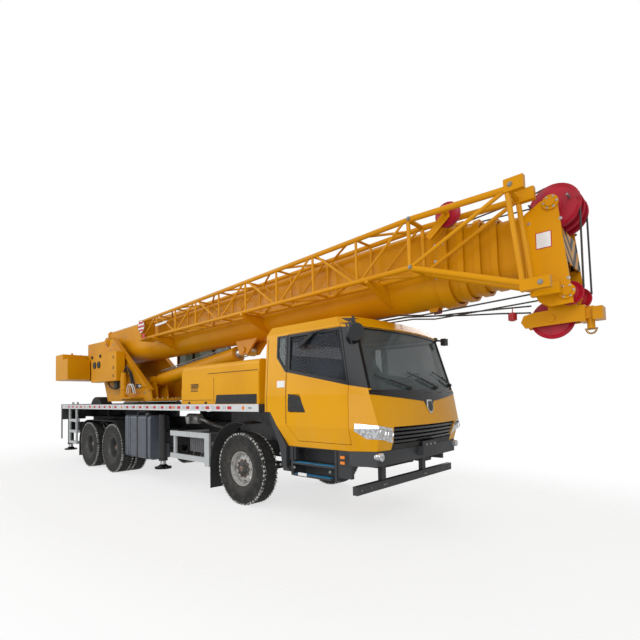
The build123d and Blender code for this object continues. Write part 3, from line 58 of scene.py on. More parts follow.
# %% A socket that can be added, multiplied and compared
class Signal:
    """One output socket, a number that varies over the surface."""

    def __init__(self, finish, socket):
        self.finish = finish
        self.socket = socket

    def math(self, operation, *terms, clamp=False):
        return self.finish.add("ShaderNodeMath", {"operation": operation, "use_clamp": clamp}, list(terms))

    def __add__(self, other):
        return self.math("ADD", self, other)

    __radd__ = __add__

    def __sub__(self, other):
        return self.math("SUBTRACT", self, other)

    def __rsub__(self, other):
        return self.math("SUBTRACT", other, self)

    def __mul__(self, other):
        return self.math("MULTIPLY", self, other)

    __rmul__ = __mul__

    def __truediv__(self, other):
        return self.math("DIVIDE", self, other)

    def __rtruediv__(self, other):
        return self.math("DIVIDE", other, self)

    def __pow__(self, other):
        return self.math("POWER", self, other)

    def __gt__(self, other):
        return self.math("GREATER_THAN", self, other)

    def __lt__(self, other):
        return self.math("LESS_THAN", self, other)

    def __abs__(self):
        return self.math("ABSOLUTE", self)

    def between(self, low, high):
        """1 between two values and 0 outside them."""
        return (self > low) * (self < high)

    def held(self):
        """The same number, held between 0 and 1."""
        return self.math("ADD", self, 0.0, clamp=True)

    def rise(self, low, high):
        """0 below low, 1 above high and a smooth step between them. low may be the greater."""
        return self.finish.add("ShaderNodeMapRange", {"interpolation_type": "SMOOTHSTEP"},
                               {"Value": self, "From Min": low, "From Max": high})

    def wrap(self, period):
        """The remainder after whole periods."""
        return self.math("FLOORED_MODULO", self, period)

    def wave(self, period):
        """A sine wave of that period, between -1 and 1."""
        return self.math("SINE", self * (math.tau / period))


print("a signal knows", ", ".join(word for word in vars(Signal) if not word.startswith("_")))

# %% [markdown]
# ## A finish
#
# A finish is one material with its net of nodes. It hands out the first signals, such as the place on the
# machine and soft noise, and takes the sums back as colour, gloss and bumps of the main shader. Noise is set
# in metres on the machine's own axes, so a patch of dust runs on from one piece to the next.

# %% A material that is built by sums
class Finish:
    """A material under construction."""

    def __init__(self, name):
        self.material = bpy.data.materials.new(name)
        self.material.use_nodes = True
        self.tree = self.material.node_tree
        self.shader = self.tree.nodes["Principled BSDF"]
        self.position = self.add("ShaderNodeTexCoord", output="Object")
        self.x, self.y, self.z = self.parts(self.position)

    def add(self, kind, settings=None, sockets=None, output=0):
        """A node of any kind: its settings first, then values or links for its sockets."""
        node = self.tree.nodes.new(kind)
        for key, value in (settings or {}).items():
            setattr(node, key, value)
        pairs = sockets.items() if isinstance(sockets, dict) else enumerate(sockets or [])
        for key, value in pairs:
            if isinstance(value, Signal):
                self.tree.links.new(value.socket, node.inputs[key])
            else:
                node.inputs[key].default_value = value
        return Signal(self, node.outputs[output])

    def parts(self, vector):
        """The three numbers of a vector."""
        node = self.tree.nodes.new("ShaderNodeSeparateXYZ")
        self.tree.links.new(vector.socket, node.inputs[0])
        return [Signal(self, out) for out in node.outputs]

    def scaled(self, factors):
        """The position, stretched along each axis."""
        return self.add("ShaderNodeVectorMath", {"operation": "MULTIPLY"}, [self.position, factors])

    def noise(self, scale, detail, stretch=(1, 1, 1)):
        """Soft random patches, about 1/scale metres across."""
        where = self.scaled(stretch) if stretch != (1, 1, 1) else self.position
        return self.add("ShaderNodeTexNoise", {"noise_dimensions": "3D"},
                        {"Vector": where, "Scale": scale, "Detail": detail, "Roughness": 0.55})

    def blend(self, one, two, share):
        """A colour between two colours."""
        node = self.tree.nodes.new("ShaderNodeMix")
        node.data_type = "RGBA"
        for key, value in ((6, one), (7, two), (0, share)):
            if isinstance(value, Signal):
                self.tree.links.new(value.socket, node.inputs[key])
            else:
                node.inputs[key].default_value = (*value, 1) if key else value
        return Signal(self, node.outputs[2])

    def bump(self, height, strength, distance, below=None):
        """A bump from a height, on top of another bump."""
        sockets = {"Height": height, "Strength": strength, "Distance": distance}
        if below is not None:
            sockets["Normal"] = below
        return self.add("ShaderNodeBump", {}, sockets)

    def set(self, **sockets):
        """Values or links for the main shader; underscores stand for spaces."""
        for key, value in sockets.items():
            socket = self.shader.inputs[key.replace("_", " ")]
            if isinstance(value, Signal):
                self.tree.links.new(value.socket, socket)
            elif isinstance(value, tuple) and len(value) == 3:
                socket.default_value = (*value, 1)
            else:
                socket.default_value = value
        return self.material


print("a finish knows", ", ".join(word for word in vars(Finish) if not word.startswith("_")))

# %% [markdown]
# ## Enamel
#
# A crane is sprayed with a thick two-pack enamel, so its colour is even, its gloss is high and only a fine
# orange peel shows in the reflections. Road dust settles on the lower parts and on faces that look up. The
# recipe mixes these from three noises and the height above the ground. Black window bands, white domes and
# warning stripes are sprayed over the same coat, so they are layers: each is a share between 0 and 1, a
# colour and a roughness.

# %% Enamel with layers
DUST = (0.40, 0.34, 0.26)


def enamel(name, colour, deep, gloss=0.30, dusty=0.22, layers=None):
    """Gloss enamel with a faint change of shade, orange peel, dust low down and sprayed layers."""
    f = Finish(name)
    patches = f.noise(0.9, 2)
    streaks = f.noise(3.0, 4, (1, 1, 0.15))
    up = f.parts(f.add("ShaderNodeNewGeometry", output="Normal"))[2]
    low = f.z.rise(1.9, 0.5)
    dust = (low * 0.75 + up.rise(0.6, 1.0) * 0.35) * streaks.rise(0.35, 0.75) * dusty
    base = f.blend(colour, deep, patches.rise(0.35, 0.70))
    rough = (patches - 0.5) * 0.08 + gloss
    for share, cover, cover_rough in (layers(f) if layers else ()):
        base = f.blend(base, cover, share)
        rough = rough * (1 - share) + share * cover_rough
    base = f.blend(base, DUST, dust.held())
    under = f.bump(f.noise(5, 2), 0.05, 0.01)
    return f.set(Base_Color=base, Roughness=(rough + dust * 0.9).held(), Coat_Weight=0.04,
                 Specular_IOR_Level=0.16, Normal=f.bump(f.noise(420, 1), 0.05, 0.0006, under))


def dusty_paint(name, colour, pale, rough=0.55):
    """Satin paint or moulding with a film of dust that gets thicker towards the ground."""
    f = Finish(name)
    grime = f.noise(6, 5)
    speck = f.noise(60, 3)
    share = f.z.rise(1.5, 0.35) * 0.30 + grime.rise(0.42, 0.78) * 0.30
    return f.set(Base_Color=f.blend(colour, pale, share.held()), Roughness=(rough + grime * 0.2).held(),
                 Normal=f.bump(speck, 0.15, 0.001))


print("two paint recipes")

# %% [markdown]
# ## Places
#
# The CAD model counts stations from the front axle and then moves the whole machine to the middle of its
# length. The front wheel's box says how far, so a place can be given as a station again. The boom and the
# stowed jib are easiest to measure along the boom, from its pivot, so they get a frame of their own. The
# cab's flanks lean in and its screen is bowed, so two small functions give their surface at any height.

# %% Stations, the boom's frame and the cab's surfaces
wheel_low, wheel_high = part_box("wheel_front_left")
FRONT_AXLE = (wheel_low.x + wheel_high.x) / 2
TYRE_RADIUS = (wheel_high.z - wheel_low.z) / 2
AXLES = {"front": FRONT_AXLE}
for word in ("second", "third"):
    low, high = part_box(f"wheels_{word}_left")
    AXLES[word] = (low.x + high.x) / 2


def at(station, y, z):
    """A point by its station forward of the front axle."""
    return Vector((FRONT_AXLE + station, y, z))


def places(*points):
    """Several points, each by station, width and height."""
    return [at(*point) for point in points]


PIVOT_STATION, PIVOT_Z = -6.4, 3.2
BOOM_TILT = math.radians(0.9)
BOOM_TURN = Matrix.Translation(at(PIVOT_STATION, 0, PIVOT_Z)) @ Matrix.Rotation(-BOOM_TILT, 4, "Y")
HEAD = 10.07
UP = (0, 0, 1)
SIDES = (("left", 1), ("right", -1))


def on_boom(along, y, up):
    """A point measured along the boom from its pivot."""
    return BOOM_TURN @ Vector((along, y, up))


def boom_places(*points):
    """Several points, each measured along the boom."""
    return [on_boom(*point) for point in points]


def circle(count, radius, shift=0.0):
    """Pairs of offsets, evenly spaced round a circle; shift turns them by that many steps."""
    turns = [math.tau * (step + shift) / count for step in range(count)]
    return [(radius * math.cos(turn), radius * math.sin(turn)) for turn in turns]


SILL, CHIN, WAIST = 0.97, 1.24, 1.64
LEAN = 0.0698


def flank(z, out):
    """Half the cab's width at a height, plus a distance out."""
    if z < CHIN:
        return 1.20 + 0.05 * (z - SILL) / 0.27 + out
    return 1.25 - max(0.0, z - WAIST) * LEAN + out


def screen(y, z, out):
    """A point on the bowed front of the cab at a width and height."""
    if z > WAIST:
        share = (z - WAIST) / 0.86
        nose, end, corner = 2.48 - 0.27 * share, 2.33 - 0.24 * share, 1.13 - 0.06 * share
    else:
        share = (z - CHIN) / 0.40
        nose, end, corner = 2.54 - 0.06 * share, 2.42 - 0.09 * share, 1.08 + 0.05 * share
    sag = nose - end
    radius = (corner ** 2 + sag ** 2) / (2 * sag)
    return at(nose - (radius - math.sqrt(radius ** 2 - y ** 2)) + out, y, z)


print("front axle at", round(FRONT_AXLE, 3), "axles", {k: round(v, 3) for k, v in AXLES.items()})

# %% [markdown]
# ## Paint colours and what is sprayed over them
#
# The cab and hood are a warm yellow and the boom is a shade more orange. The glass band of the cab is black
# from the rear quarter to the windscreen, its inside is grey, and the boom's head carries black chevrons. Each
# of these is an area between straight or gently bowed lines, so it is written as a product of comparisons on
# the station, the width and the height.

# %% Paints of the cab, body, boom and frame
YELLOW = (0.72, 0.335, 0.002)
YELLOW_DEEP = (0.66, 0.295, 0.002)
BOOM_YELLOW = (0.66, 0.282, 0.002)
BOOM_DEEP = (0.60, 0.245, 0.002)
TURRET_YELLOW = (0.68, 0.298, 0.002)
TURRET_DEEP = (0.60, 0.25, 0.002)
TRIM_BLACK = (0.012, 0.013, 0.015)
PALE = (0.80, 0.80, 0.78)


def cab_layers(f):
    """The black band of the windows, the grey lining inside and the white dome on the roof."""
    s = f.x - FRONT_AXLE
    side = abs(f.y)
    band = (s > 0.875) * (f.z + s * 1.171 > 3.195) * (f.z + s * 0.2018 > 2.177) * (f.z < 2.466)
    bow = s + side * side * 0.118
    within = f.z.between(1.03, 2.52) * (s > 0.68) * (side < 1.219)
    within = within * (side + f.z * LEAN < 1.342) * (side - f.z * 0.185 < 0.99)
    within = within * (s * 0.496 + side * 0.868 + f.z * 0.153 < 2.371) * (s * 0.5 + side * 0.866 < 2.09)
    within = within * (s + f.z * 0.314 + side * side * 0.1175 < 2.965)
    within = within * (bow + f.z * 0.15 < 2.676) * (bow - f.z * 0.28 < 2.142)
    skirt = (s > 2.20) * (side < 0.79) * (f.z < 1.05)
    ceiling = f.z.between(2.45, 2.595) * (side < 1.08) * s.between(0.68, 2.03)
    lining = (within + ceiling).held()
    dome = f.z > 2.621
    return ((band, TRIM_BLACK, 0.16), (skirt, TRIM_BLACK, 0.5), (lining, (0.060, 0.060, 0.064), 0.7),
            (dome, PALE, 0.35))


def head_layers(f):
    """Black chevrons on the front board of the boom's head."""
    s = f.x - FRONT_AXLE
    front = (s > 4.075) * (abs(f.y) < 0.325) * f.z.between(2.93, 3.31)
    stripe = (f.z - abs(f.y) * 0.9).wrap(0.20) > 0.10
    return ((front * stripe, TRIM_BLACK, 0.35),)


def turret_layers(f):
    """The housing of the work lamp is dark."""
    s = f.x - FRONT_AXLE
    lamp = s.between(-4.24, -4.12) * f.y.between(-0.81, -0.712) * f.z.between(1.885, 2.0)
    return ((lamp, TRIM_BLACK, 0.4),)


def operator_layers(f):
    """Black window surrounds and a grey inside for the operator's cab."""
    s = f.x - FRONT_AXLE
    glass_high = f.z.between(2.10, 2.99) * (s > -4.86)
    inside = f.y.between(0.69, 1.165) * f.z.between(1.79, 3.06) * s.between(-4.87, -3.05)
    return (glass_high, TRIM_BLACK, 0.25), (inside, (0.05, 0.05, 0.055), 0.7)


paint = enamel("body_enamel", YELLOW, YELLOW_DEEP)
cab_paint = enamel("cab_enamel", YELLOW, YELLOW_DEEP, 0.26, 0.22, cab_layers)
turret_paint = enamel("turret_enamel", TURRET_YELLOW, TURRET_DEEP, 0.34, 0.30, turret_layers)
boom_paint = enamel("boom_enamel", BOOM_YELLOW, BOOM_DEEP, 0.28, 0.12)
head_paint = enamel("head_enamel", BOOM_YELLOW, BOOM_DEEP, 0.30, 0.12, head_layers)
operator_paint = enamel("operator_enamel", YELLOW, YELLOW_DEEP, 0.30, 0.15, operator_layers)
frame_black = dusty_paint("chassis_black", (0.010, 0.010, 0.011), (0.034, 0.032, 0.029))
cladding = dusty_paint("dark_cladding", (0.024, 0.026, 0.030), (0.045, 0.044, 0.043), 0.42)
black_gloss = dusty_paint("black_gloss", (0.008, 0.008, 0.009), (0.018, 0.018, 0.018), 0.16)
print("paints:", len(bpy.data.materials))

# %% [markdown]
# ## Metals, plastics, glass and lamps
#
# Bright edge strips, racks and ladders are aluminium or silver paint. A metal needs a rough, brushed surface
# more than it needs colour: noise stretched along the bar gives the brushing. Sheaves are crimson nylon with
# a slight haze. Glass is a thin dark coat with a low alpha, so that the dashboard and seats show behind it.

# %% Metals
def metal(name, colour, dirt, shine, rough, grain=(1, 30, 30), dirty=0.5, layers=None):
    """Brushed or rolled metal with grime in patches."""
    f = Finish(name)
    brush = f.noise(14, 3, grain)
    grime = f.noise(7, 5).rise(0.45, 0.80) * dirty
    base = f.blend(colour, dirt, grime)
    for share, cover, _ in (layers(f) if layers else ()):
        base = f.blend(base, cover, share)
    return f.set(Base_Color=base, Metallic=(1 - grime) * shine,
                 Roughness=(rough + (brush - 0.5) * 0.25 + grime * 0.3).held(),
                 Normal=f.bump(brush, 0.06, 0.001))


def ram_layers(f):
    """Black paint below the bright ram."""
    return ((f.z < 0.372, (0.012, 0.012, 0.012), 0.6),)


edge_strip = metal("edge_strip", (0.66, 0.67, 0.68), (0.40, 0.39, 0.37), 0.35, 0.42, dirty=0.35)
silver_rack = metal("silver_rack", (0.52, 0.54, 0.55), (0.30, 0.29, 0.27), 0.35, 0.45, dirty=0.45)
tank_grey = metal("tank_grey", (0.105, 0.118, 0.145), (0.065, 0.064, 0.064), 0.30, 0.34, dirty=0.6)
bright_steel = metal("bright_steel", (0.62, 0.62, 0.61), (0.20, 0.17, 0.14), 0.9, 0.22, (8, 8, 1), 0.25)
jack_steel = metal("jack_steel", (0.55, 0.55, 0.54), (0.10, 0.09, 0.08), 0.8, 0.28, (8, 8, 1), 0.35,
                   ram_layers)
dull_steel = metal("dull_steel", (0.30, 0.30, 0.29), (0.14, 0.12, 0.10), 0.7, 0.45, (4, 4, 4), 0.6)
cast_grey = metal("cast_grey", (0.16, 0.16, 0.17), (0.06, 0.055, 0.05), 0.5, 0.6, (3, 3, 3), 0.7)
bronze = metal("bronze", (0.42, 0.25, 0.09), (0.16, 0.10, 0.05), 0.8, 0.38, (4, 4, 4), 0.5)
ring_olive = metal("ring_olive", (0.075, 0.078, 0.040), (0.045, 0.042, 0.028), 0.35, 0.55, (4, 4, 30), 0.5)
print("metals ready")

# %% Plastics, rubber and rope
def moulding(name, colour, shade, rough, grain=90, strength=0.12):
    """Plastic, nylon or rubber with a fine grain and slight shade."""
    f = Finish(name)
    patch = f.noise(7, 4)
    return f.set(Base_Color=f.blend(colour, shade, patch.rise(0.40, 0.70)),
                 Roughness=(patch * 0.15 + rough).held(), Normal=f.bump(f.noise(grain, 3), strength, 0.001))


nylon = moulding("crimson_nylon", (0.43, 0.002, 0.022), (0.30, 0.002, 0.016), 0.32, 40, 0.05)
hose_rubber = moulding("hose_rubber", (0.012, 0.012, 0.012), (0.030, 0.029, 0.027), 0.55)
red_paint = moulding("warning_red", (0.52, 0.010, 0.018), (0.42, 0.010, 0.016), 0.35)
white_paint = moulding("plain_white", (0.78, 0.78, 0.77), (0.70, 0.70, 0.68), 0.40)
grey_square = moulding("grey_square", (0.50, 0.50, 0.51), (0.42, 0.42, 0.43), 0.35)
amber = moulding("amber_lens", (0.80, 0.22, 0.008), (0.62, 0.15, 0.006), 0.15, 160, 0.3)
strip_blue = moulding("step_blue", (0.02, 0.22, 0.42), (0.03, 0.13, 0.24), 0.6, 200, 0.6)
drab_green = moulding("drab_green", (0.030, 0.038, 0.026), (0.018, 0.022, 0.016), 0.6)


def rope_finish():
    """Steel rope: strands that wind round show as slanted ridges."""
    f = Finish("steel_rope")
    strands = (f.x + f.z * 2 + f.y * 2).wave(0.03)
    return f.set(Base_Color=f.blend((0.035, 0.034, 0.033), (0.11, 0.105, 0.10), strands.rise(-0.4, 1.0)),
                 Metallic=0.6, Roughness=0.45, Normal=f.bump(strands, 0.5, 0.003))


def drum_finish():
    """Rope laid in turns on the winch drums."""
    f = Finish("wound_rope")
    turns = f.y.wave(0.017)
    return f.set(Base_Color=f.blend((0.05, 0.048, 0.046), (0.20, 0.195, 0.19), turns.rise(-0.6, 1.0)),
                 Metallic=0.6, Roughness=0.42, Normal=f.bump(turns, 0.8, 0.006))


rope = rope_finish()
wound_rope = drum_finish()
print("plastics and rope ready")

# %% Glass, lamps and seats
def glass(name, colour, dusk, clear, shine=0.5):
    """Tinted glass with a faint film of dust."""
    f = Finish(name)
    film = f.noise(2.2, 4)
    return f.set(Base_Color=f.blend(colour, dusk, film.rise(0.4, 0.75)), Alpha=(film * 0.10 + clear).held(),
                 Roughness=(film * 0.05 + 0.04).held(), Specular_IOR_Level=shine)


cab_glass = glass("windscreen_glass", (0.10, 0.125, 0.13), (0.14, 0.165, 0.17), 0.42, 0.5)
side_glass = glass("side_glass", (0.010, 0.014, 0.020), (0.022, 0.028, 0.038), 0.60, 0.12)
teal_glass = glass("teal_glass", (0.25, 0.42, 0.42), (0.33, 0.48, 0.47), 0.50)


def lamp_finish():
    """Headlamps and round lamps are bright and faceted, side markers amber and tail lamps red."""
    f = Finish("lamp_lenses")
    s = f.x - FRONT_AXLE
    cells = f.add("ShaderNodeTexVoronoi", {}, {"Vector": f.position, "Scale": 38.0}, "Distance")
    base = f.blend((0.80, 0.81, 0.83), (0.42, 0.43, 0.45), cells.rise(0.25, 0.75))
    base = f.blend(base, (0.80, 0.22, 0.008), s.between(1.9, 2.06) * (f.z < 0.95))
    tail = s < -7.0
    base = f.blend(base, (0.50, 0.012, 0.012), tail)
    return f.set(Base_Color=base, Metallic=(s > 2.1) * 0.55, Roughness=0.10, Coat_Weight=1.0,
                 Normal=f.bump(cells, 0.35, 0.004))


def interior_finish():
    """Dark trim with a leather grain, and blue seats with a woven cover."""
    f = Finish("cab_trim_and_seats")
    s = f.x - FRONT_AXLE
    seat = (s < 1.72) * (f.z > 1.395)
    weave = f.add("ShaderNodeTexChecker", {}, {"Vector": f.position, "Scale": 160.0}, 1)
    cloth = f.blend((0.012, 0.045, 0.17), (0.006, 0.022, 0.085), weave)
    trim = f.blend((0.030, 0.031, 0.034), (0.055, 0.055, 0.058), f.noise(5, 3).rise(0.4, 0.7))
    return f.set(Base_Color=f.blend(trim, cloth, seat), Roughness=(seat * 0.25 + 0.6).held(),
                 Normal=f.bump(f.noise(140, 3), 0.25, 0.001))


def deck_finish():
    """Chequer plate: crossed raised ribs under worn dark paint."""
    f = Finish("chequer_plate")
    one = (f.x + f.y).wrap(0.06).rise(0.018, 0.010)
    two = (f.x - f.y).wrap(0.06).rise(0.018, 0.010)
    ribs = (one + two).held()
    wear = (ribs * 0.6 + f.noise(4, 4).rise(0.5, 0.8) * 0.4).held()
    base = f.blend((0.040, 0.041, 0.044), (0.085, 0.083, 0.080), wear)
    return f.set(Base_Color=base, Roughness=0.55, Metallic=ribs * 0.4, Normal=f.bump(ribs, 0.5, 0.003))


lamp_lens = lamp_finish()
interior = interior_finish()
chequer = deck_finish()
print("glass, lamps, trim and deck ready")


# %% [markdown]
# ## Camera, floor and light
#
# The camera stands a few steps off the right front corner at eye height, with a wide lens, so that the cab
# looms and the boom runs away. The lens axis isn't in the middle of the frame, which the shift takes up.
# Four large soft lamps, one of them low, keep the enamel's reflections broad. The room is plain white to the
# camera and mid grey to the paint, so that the colours come out as they are written.

# %% Camera
EYE = at(5.16, -5.31, 1.60)
YAW, PITCH, ROLL = math.radians(134.656), math.radians(2.125), math.radians(-0.855)
FOCAL, FRAME, SENSOR = 428.53, 640.0, 36.0
AXIS_ACROSS, AXIS_DOWN = 289.11, 382.92  # where the lens axis meets the frame
look = Vector((math.cos(YAW) * math.cos(PITCH), math.sin(YAW) * math.cos(PITCH), math.sin(PITCH)))
camera_data = bpy.data.cameras.new("camera")
camera_data.sensor_width = SENSOR
camera_data.lens = FOCAL / FRAME * SENSOR
camera_data.shift_x = (FRAME / 2 - AXIS_ACROSS) / FRAME
camera_data.shift_y = (AXIS_DOWN - FRAME / 2) / FRAME
camera_data.clip_end = 200
camera = bpy.data.objects.new("camera", camera_data)
bpy.context.scene.collection.objects.link(camera)
camera.rotation_mode = "QUATERNION"
camera.rotation_quaternion = look.to_track_quat("-Z", "Y") @ Matrix.Rotation(ROLL, 4, "Z").to_quaternion()
camera.location = EYE
bpy.context.scene.camera = camera
print("camera at", tuple(round(v, 3) for v in EYE), "lens", round(camera_data.lens, 2))

# %% Floor, room and lamps
ROOM_GREY = 0.55


def soft_lamp(name, place, target, size, power):
    """A large square lamp that looks at a target."""
    data = bpy.data.lights.new(name, "AREA")
    data.size = size
    data.energy = power
    lamp = bpy.data.objects.new(name, data)
    bpy.context.scene.collection.objects.link(lamp)
    lamp.location = place
    lamp.rotation_mode = "QUATERNION"
    lamp.rotation_quaternion = (Vector(target) - Vector(place)).to_track_quat("-Z", "Y")


def white_to_camera(tree, low):
    """A strength that is 1 for camera and transmission rays and low for all others."""
    path = tree.nodes.new("ShaderNodeLightPath")
    either = tree.nodes.new("ShaderNodeMath")
    either.operation = "MAXIMUM"
    tree.links.new(path.outputs["Is Camera Ray"], either.inputs[0])
    tree.links.new(path.outputs["Is Transmission Ray"], either.inputs[1])
    level = tree.nodes.new("ShaderNodeMapRange")
    tree.links.new(either.outputs[0], level.inputs["Value"])
    level.inputs["To Min"].default_value = low
    level.inputs["To Max"].default_value = 1.0
    return level.outputs[0]


world = bpy.data.worlds.new("pale_room")
bpy.context.scene.world = world
world.use_nodes = True
sky = world.node_tree.nodes["Background"]
sky.inputs["Color"].default_value = (1, 1, 1, 1)
world.node_tree.links.new(white_to_camera(world.node_tree, ROOM_GREY), sky.inputs["Strength"])
bpy.context.scene.view_settings.view_transform = "Standard"

REACH = 14.0
mesh = bpy.data.meshes.new("floor")
ring = [(a, b, 0) for a, b in circle(96, REACH)]
mesh.from_pydata(ring, [], [tuple(range(len(ring)))])
floor = bpy.data.objects.new("floor", mesh)
bpy.context.scene.collection.objects.link(floor)
f = Finish("pale_floor")
far = (f.x * f.x + f.y * f.y * 4.8) ** 0.5
matte = f.set(Base_Color=f.blend((0.90, 0.90, 0.89), (0.86, 0.86, 0.85), f.noise(0.6, 3)), Roughness=0.9)
clear = f.tree.nodes.new("ShaderNodeBsdfTransparent")
fade = f.tree.nodes.new("ShaderNodeMixShader")
f.tree.links.new((far.rise(6.6, 12.5) * 0.30 + 0.70).socket, fade.inputs[0])
f.tree.links.new(f.shader.outputs[0], fade.inputs[1])
f.tree.links.new(clear.outputs[0], fade.inputs[2])
f.tree.links.new(fade.outputs[0], f.tree.nodes["Material Output"].inputs["Surface"])
floor.data.materials.append(matte)
soft_lamp("key", (15, -17, 15), (0, 0, 1), 11, 1600)
soft_lamp("fill", (-14, -15, 10), (0, 0, 1), 12, 1250)
soft_lamp("low", (8, -13, 1.6), (0, 0, 3.2), 6, 400)
soft_lamp("back", (-4, 16, 12), (0, 0, 1), 12, 1000)
print("floor and four lamps")


# %% [markdown]
# ## A tray for small parts
#
# Bolts, lugs, clips and reflectors come by the dozen. One object for each would be slow to handle, so like
# parts are gathered into a single mesh. The tray below takes boxes, bars, turned shapes, bent tubes and
# plates, and casts them into one piece. Where asked, a Bevel modifier slightly rounds its edges.

# %% The tray
SHARP_ANGLE = math.radians(35)


class Tray:
    """Gathers small solid shapes and makes one mesh of them."""

    def __init__(self):
        self.mesh = bmesh.new()

    def add(self, points, faces):
        """Points and faces of one closed shape."""
        made = [self.mesh.verts.new(point) for point in points]
        for face in faces:
            self.mesh.faces.new([made[index] for index in face])
        return self

    def prism(self, outline, depth):
        """A flat outline of points, swept by a vector."""
        count = len(outline)
        depth = Vector(depth)
        points = [Vector(point) for point in outline]
        points += [point + depth for point in points]
        sides = [(i, (i + 1) % count, (i + 1) % count + count, i + count) for i in range(count)]
        return self.add(points, [tuple(range(count))[::-1], tuple(range(count, 2 * count))] + sides)

    def box(self, low, high):
        """A block between two corners."""
        (x0, y0, z0), (x1, y1, z1) = low, high
        return self.prism([(x0, y0, z0), (x1, y0, z0), (x1, y1, z0), (x0, y1, z0)], (0, 0, z1 - z0))

    def block(self, centre, *halves):
        """A block about a centre, from its three half sizes."""
        return self.box(Vector(centre) - Vector(halves), Vector(centre) + Vector(halves))

    def tilted(self, centre, size, turn):
        """A block about a centre, turned by a matrix."""
        a, b, c = (value / 2 for value in size)
        base = [(-a, -b, -c), (a, -b, -c), (a, b, -c), (-a, b, -c)]
        outline = [Vector(centre) + turn @ Vector(point) for point in base]
        return self.prism(outline, turn @ Vector((0, 0, 2 * c)))

    def bar(self, start, end, radius):
        """A round bar between two points."""
        along = Vector(end) - Vector(start)
        return self.lathe([(radius, 0), (radius, along.length)], start, along, 12)

    def skin(self, rings):
        """Joins rings of points into a closed tube with flat ends."""
        count = len(rings[0])
        for one, two in zip(rings, rings[1:]):
            for step in range(count):
                after = (step + 1) % count
                self.mesh.faces.new((one[step], one[after], two[after], two[step]))
        self.mesh.faces.new(rings[0][::-1])
        self.mesh.faces.new(rings[-1])
        return self

    def lathe(self, profile, origin, axis, sides):
        """A turned shape from (radius, height) pairs about an axis."""
        turn = Vector(axis).to_track_quat("Z", "Y")
        rings = []
        for radius, height in profile:
            points = [Vector(origin) + turn @ Vector((a, b, height)) for a, b in circle(sides, radius)]
            rings.append([self.mesh.verts.new(point) for point in points])
        return self.skin(rings)

    def bolt(self, place, axis, across, height):
        """A hexagon bolt head on a washer."""
        washer, half = across * 0.62, across / 2
        self.lathe([(washer, 0), (washer, height * 0.2)], place, axis, 16)
        head = [(half, height * 0.2), (half, height * 0.85), (across * 0.42, height)]
        return self.lathe(head, place, axis, 6)

    def tube(self, points, radius, sides, smooth=0):
        """A bent tube through points; smooth rounds the path that many times."""
        path = [Vector(point) for point in points]
        for _ in range(smooth):
            cut = [path[0]]
            for one, two in zip(path, path[1:]):
                cut += [one.lerp(two, 0.25), one.lerp(two, 0.75)]
            path = cut + [path[-1]]
        rings = []
        up = Vector((0, 0, 1))
        for index, point in enumerate(path):
            before = path[max(index - 1, 0)]
            after = path[min(index + 1, len(path) - 1)]
            along = (after - before).normalized()
            side = along.cross(up)
            side = side.normalized() if side.length > 1e-4 else Vector((0, 1, 0))
            up = side.cross(along).normalized()
            spokes = [(side * a + up * b) * radius for a, b in circle(sides, 1.0)]
            rings.append([self.mesh.verts.new(point + spoke) for spoke in spokes])
        return self.skin(rings)

    def staple(self, foot, half, height, radius):
        """A bent loop on two feet, one half before and one half after a place."""
        foot, half, rise = Vector(foot), Vector(half), Vector((0, 0, height))
        return self.tube([foot - half, foot - half + rise, foot + half + rise, foot + half], radius, 8, 1)

    def cast(self, name, body, material, slot, bevel=0.0):
        """Makes the piece and rides it on a body; its slot argument is not used."""
        bmesh.ops.recalc_face_normals(self.mesh, faces=self.mesh.faces)
        data = bpy.data.meshes.new(name)
        self.mesh.to_mesh(data)
        self.mesh.free()
        data.shade_smooth()
        data.set_sharp_from_angle(angle=SHARP_ANGLE)
        piece = bpy.data.objects.new(name, data)
        bpy.context.scene.collection.objects.link(piece)
        data.materials.append(material)
        if bevel:
            edge = piece.modifiers.new("edge", "BEVEL")
            edge.width = bevel
            edge.segments = 2
            edge.limit_method = "ANGLE"
            edge.harden_normals = True
        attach(piece, body)
        print(f"{name}: {len(data.polygons)} faces on {body}")


print("a tray takes", ", ".join(word for word in vars(Tray) if not word.startswith("_")))

# %% [markdown]
# ## Rubber, rims and road dust
#
# The CAD wheel holds the tyre and its rim in one mesh. Both are turned about the axle, so the distance from
# the axle tells rubber from steel: outside the rim's radius it is rubber. The same distance places the
# moulded rings of the sidewall and the scuffed, pale edge where the tread begins.

# %% Wheel finish
RIM_RADIUS = 0.262


def wheel_finish(name, axle_x, steel, steel_dirt):
    """Rubber outside the rim's radius and painted steel inside it."""
    f = Finish(name)
    radius = ((f.x - axle_x) ** 2.0 + (f.z - TYRE_RADIUS) ** 2.0) ** 0.5
    rubber = radius > RIM_RADIUS + 0.0005
    grime = f.noise(14, 5)
    fine = f.noise(90, 4)
    dust = radius.rise(0.42, 0.30) * 0.35 + grime.rise(0.42, 0.8) * 0.5
    tyre = f.blend((0.010, 0.010, 0.010), (0.075, 0.070, 0.062), dust.held())
    scuff = radius.rise(0.498, 0.512) * radius.rise(0.532, 0.520) * fine.rise(0.56, 0.64)
    tyre = f.blend(tyre, (0.42, 0.41, 0.38), scuff * 0.8)
    rust = fine.rise(0.62, 0.74) * radius.rise(0.19, 0.12)
    metal = f.blend(steel, steel_dirt, (grime.rise(0.45, 0.75) + radius.rise(0.20, RIM_RADIUS) * 0.5).held())
    metal = f.blend(metal, (0.16, 0.06, 0.025), rust)
    metal = f.blend(metal, (0.025, 0.024, 0.023), radius.rise(0.130, 0.115))
    groove = radius.wave(0.016) * radius.rise(0.335, 0.345) * radius.rise(0.385, 0.375)
    return f.set(Base_Color=f.blend(metal, tyre, rubber),
                 Roughness=(0.42 + rubber * 0.36 + grime * 0.15).held(),
                 Normal=f.bump(groove * rubber + fine * 0.3, 0.35, 0.002))


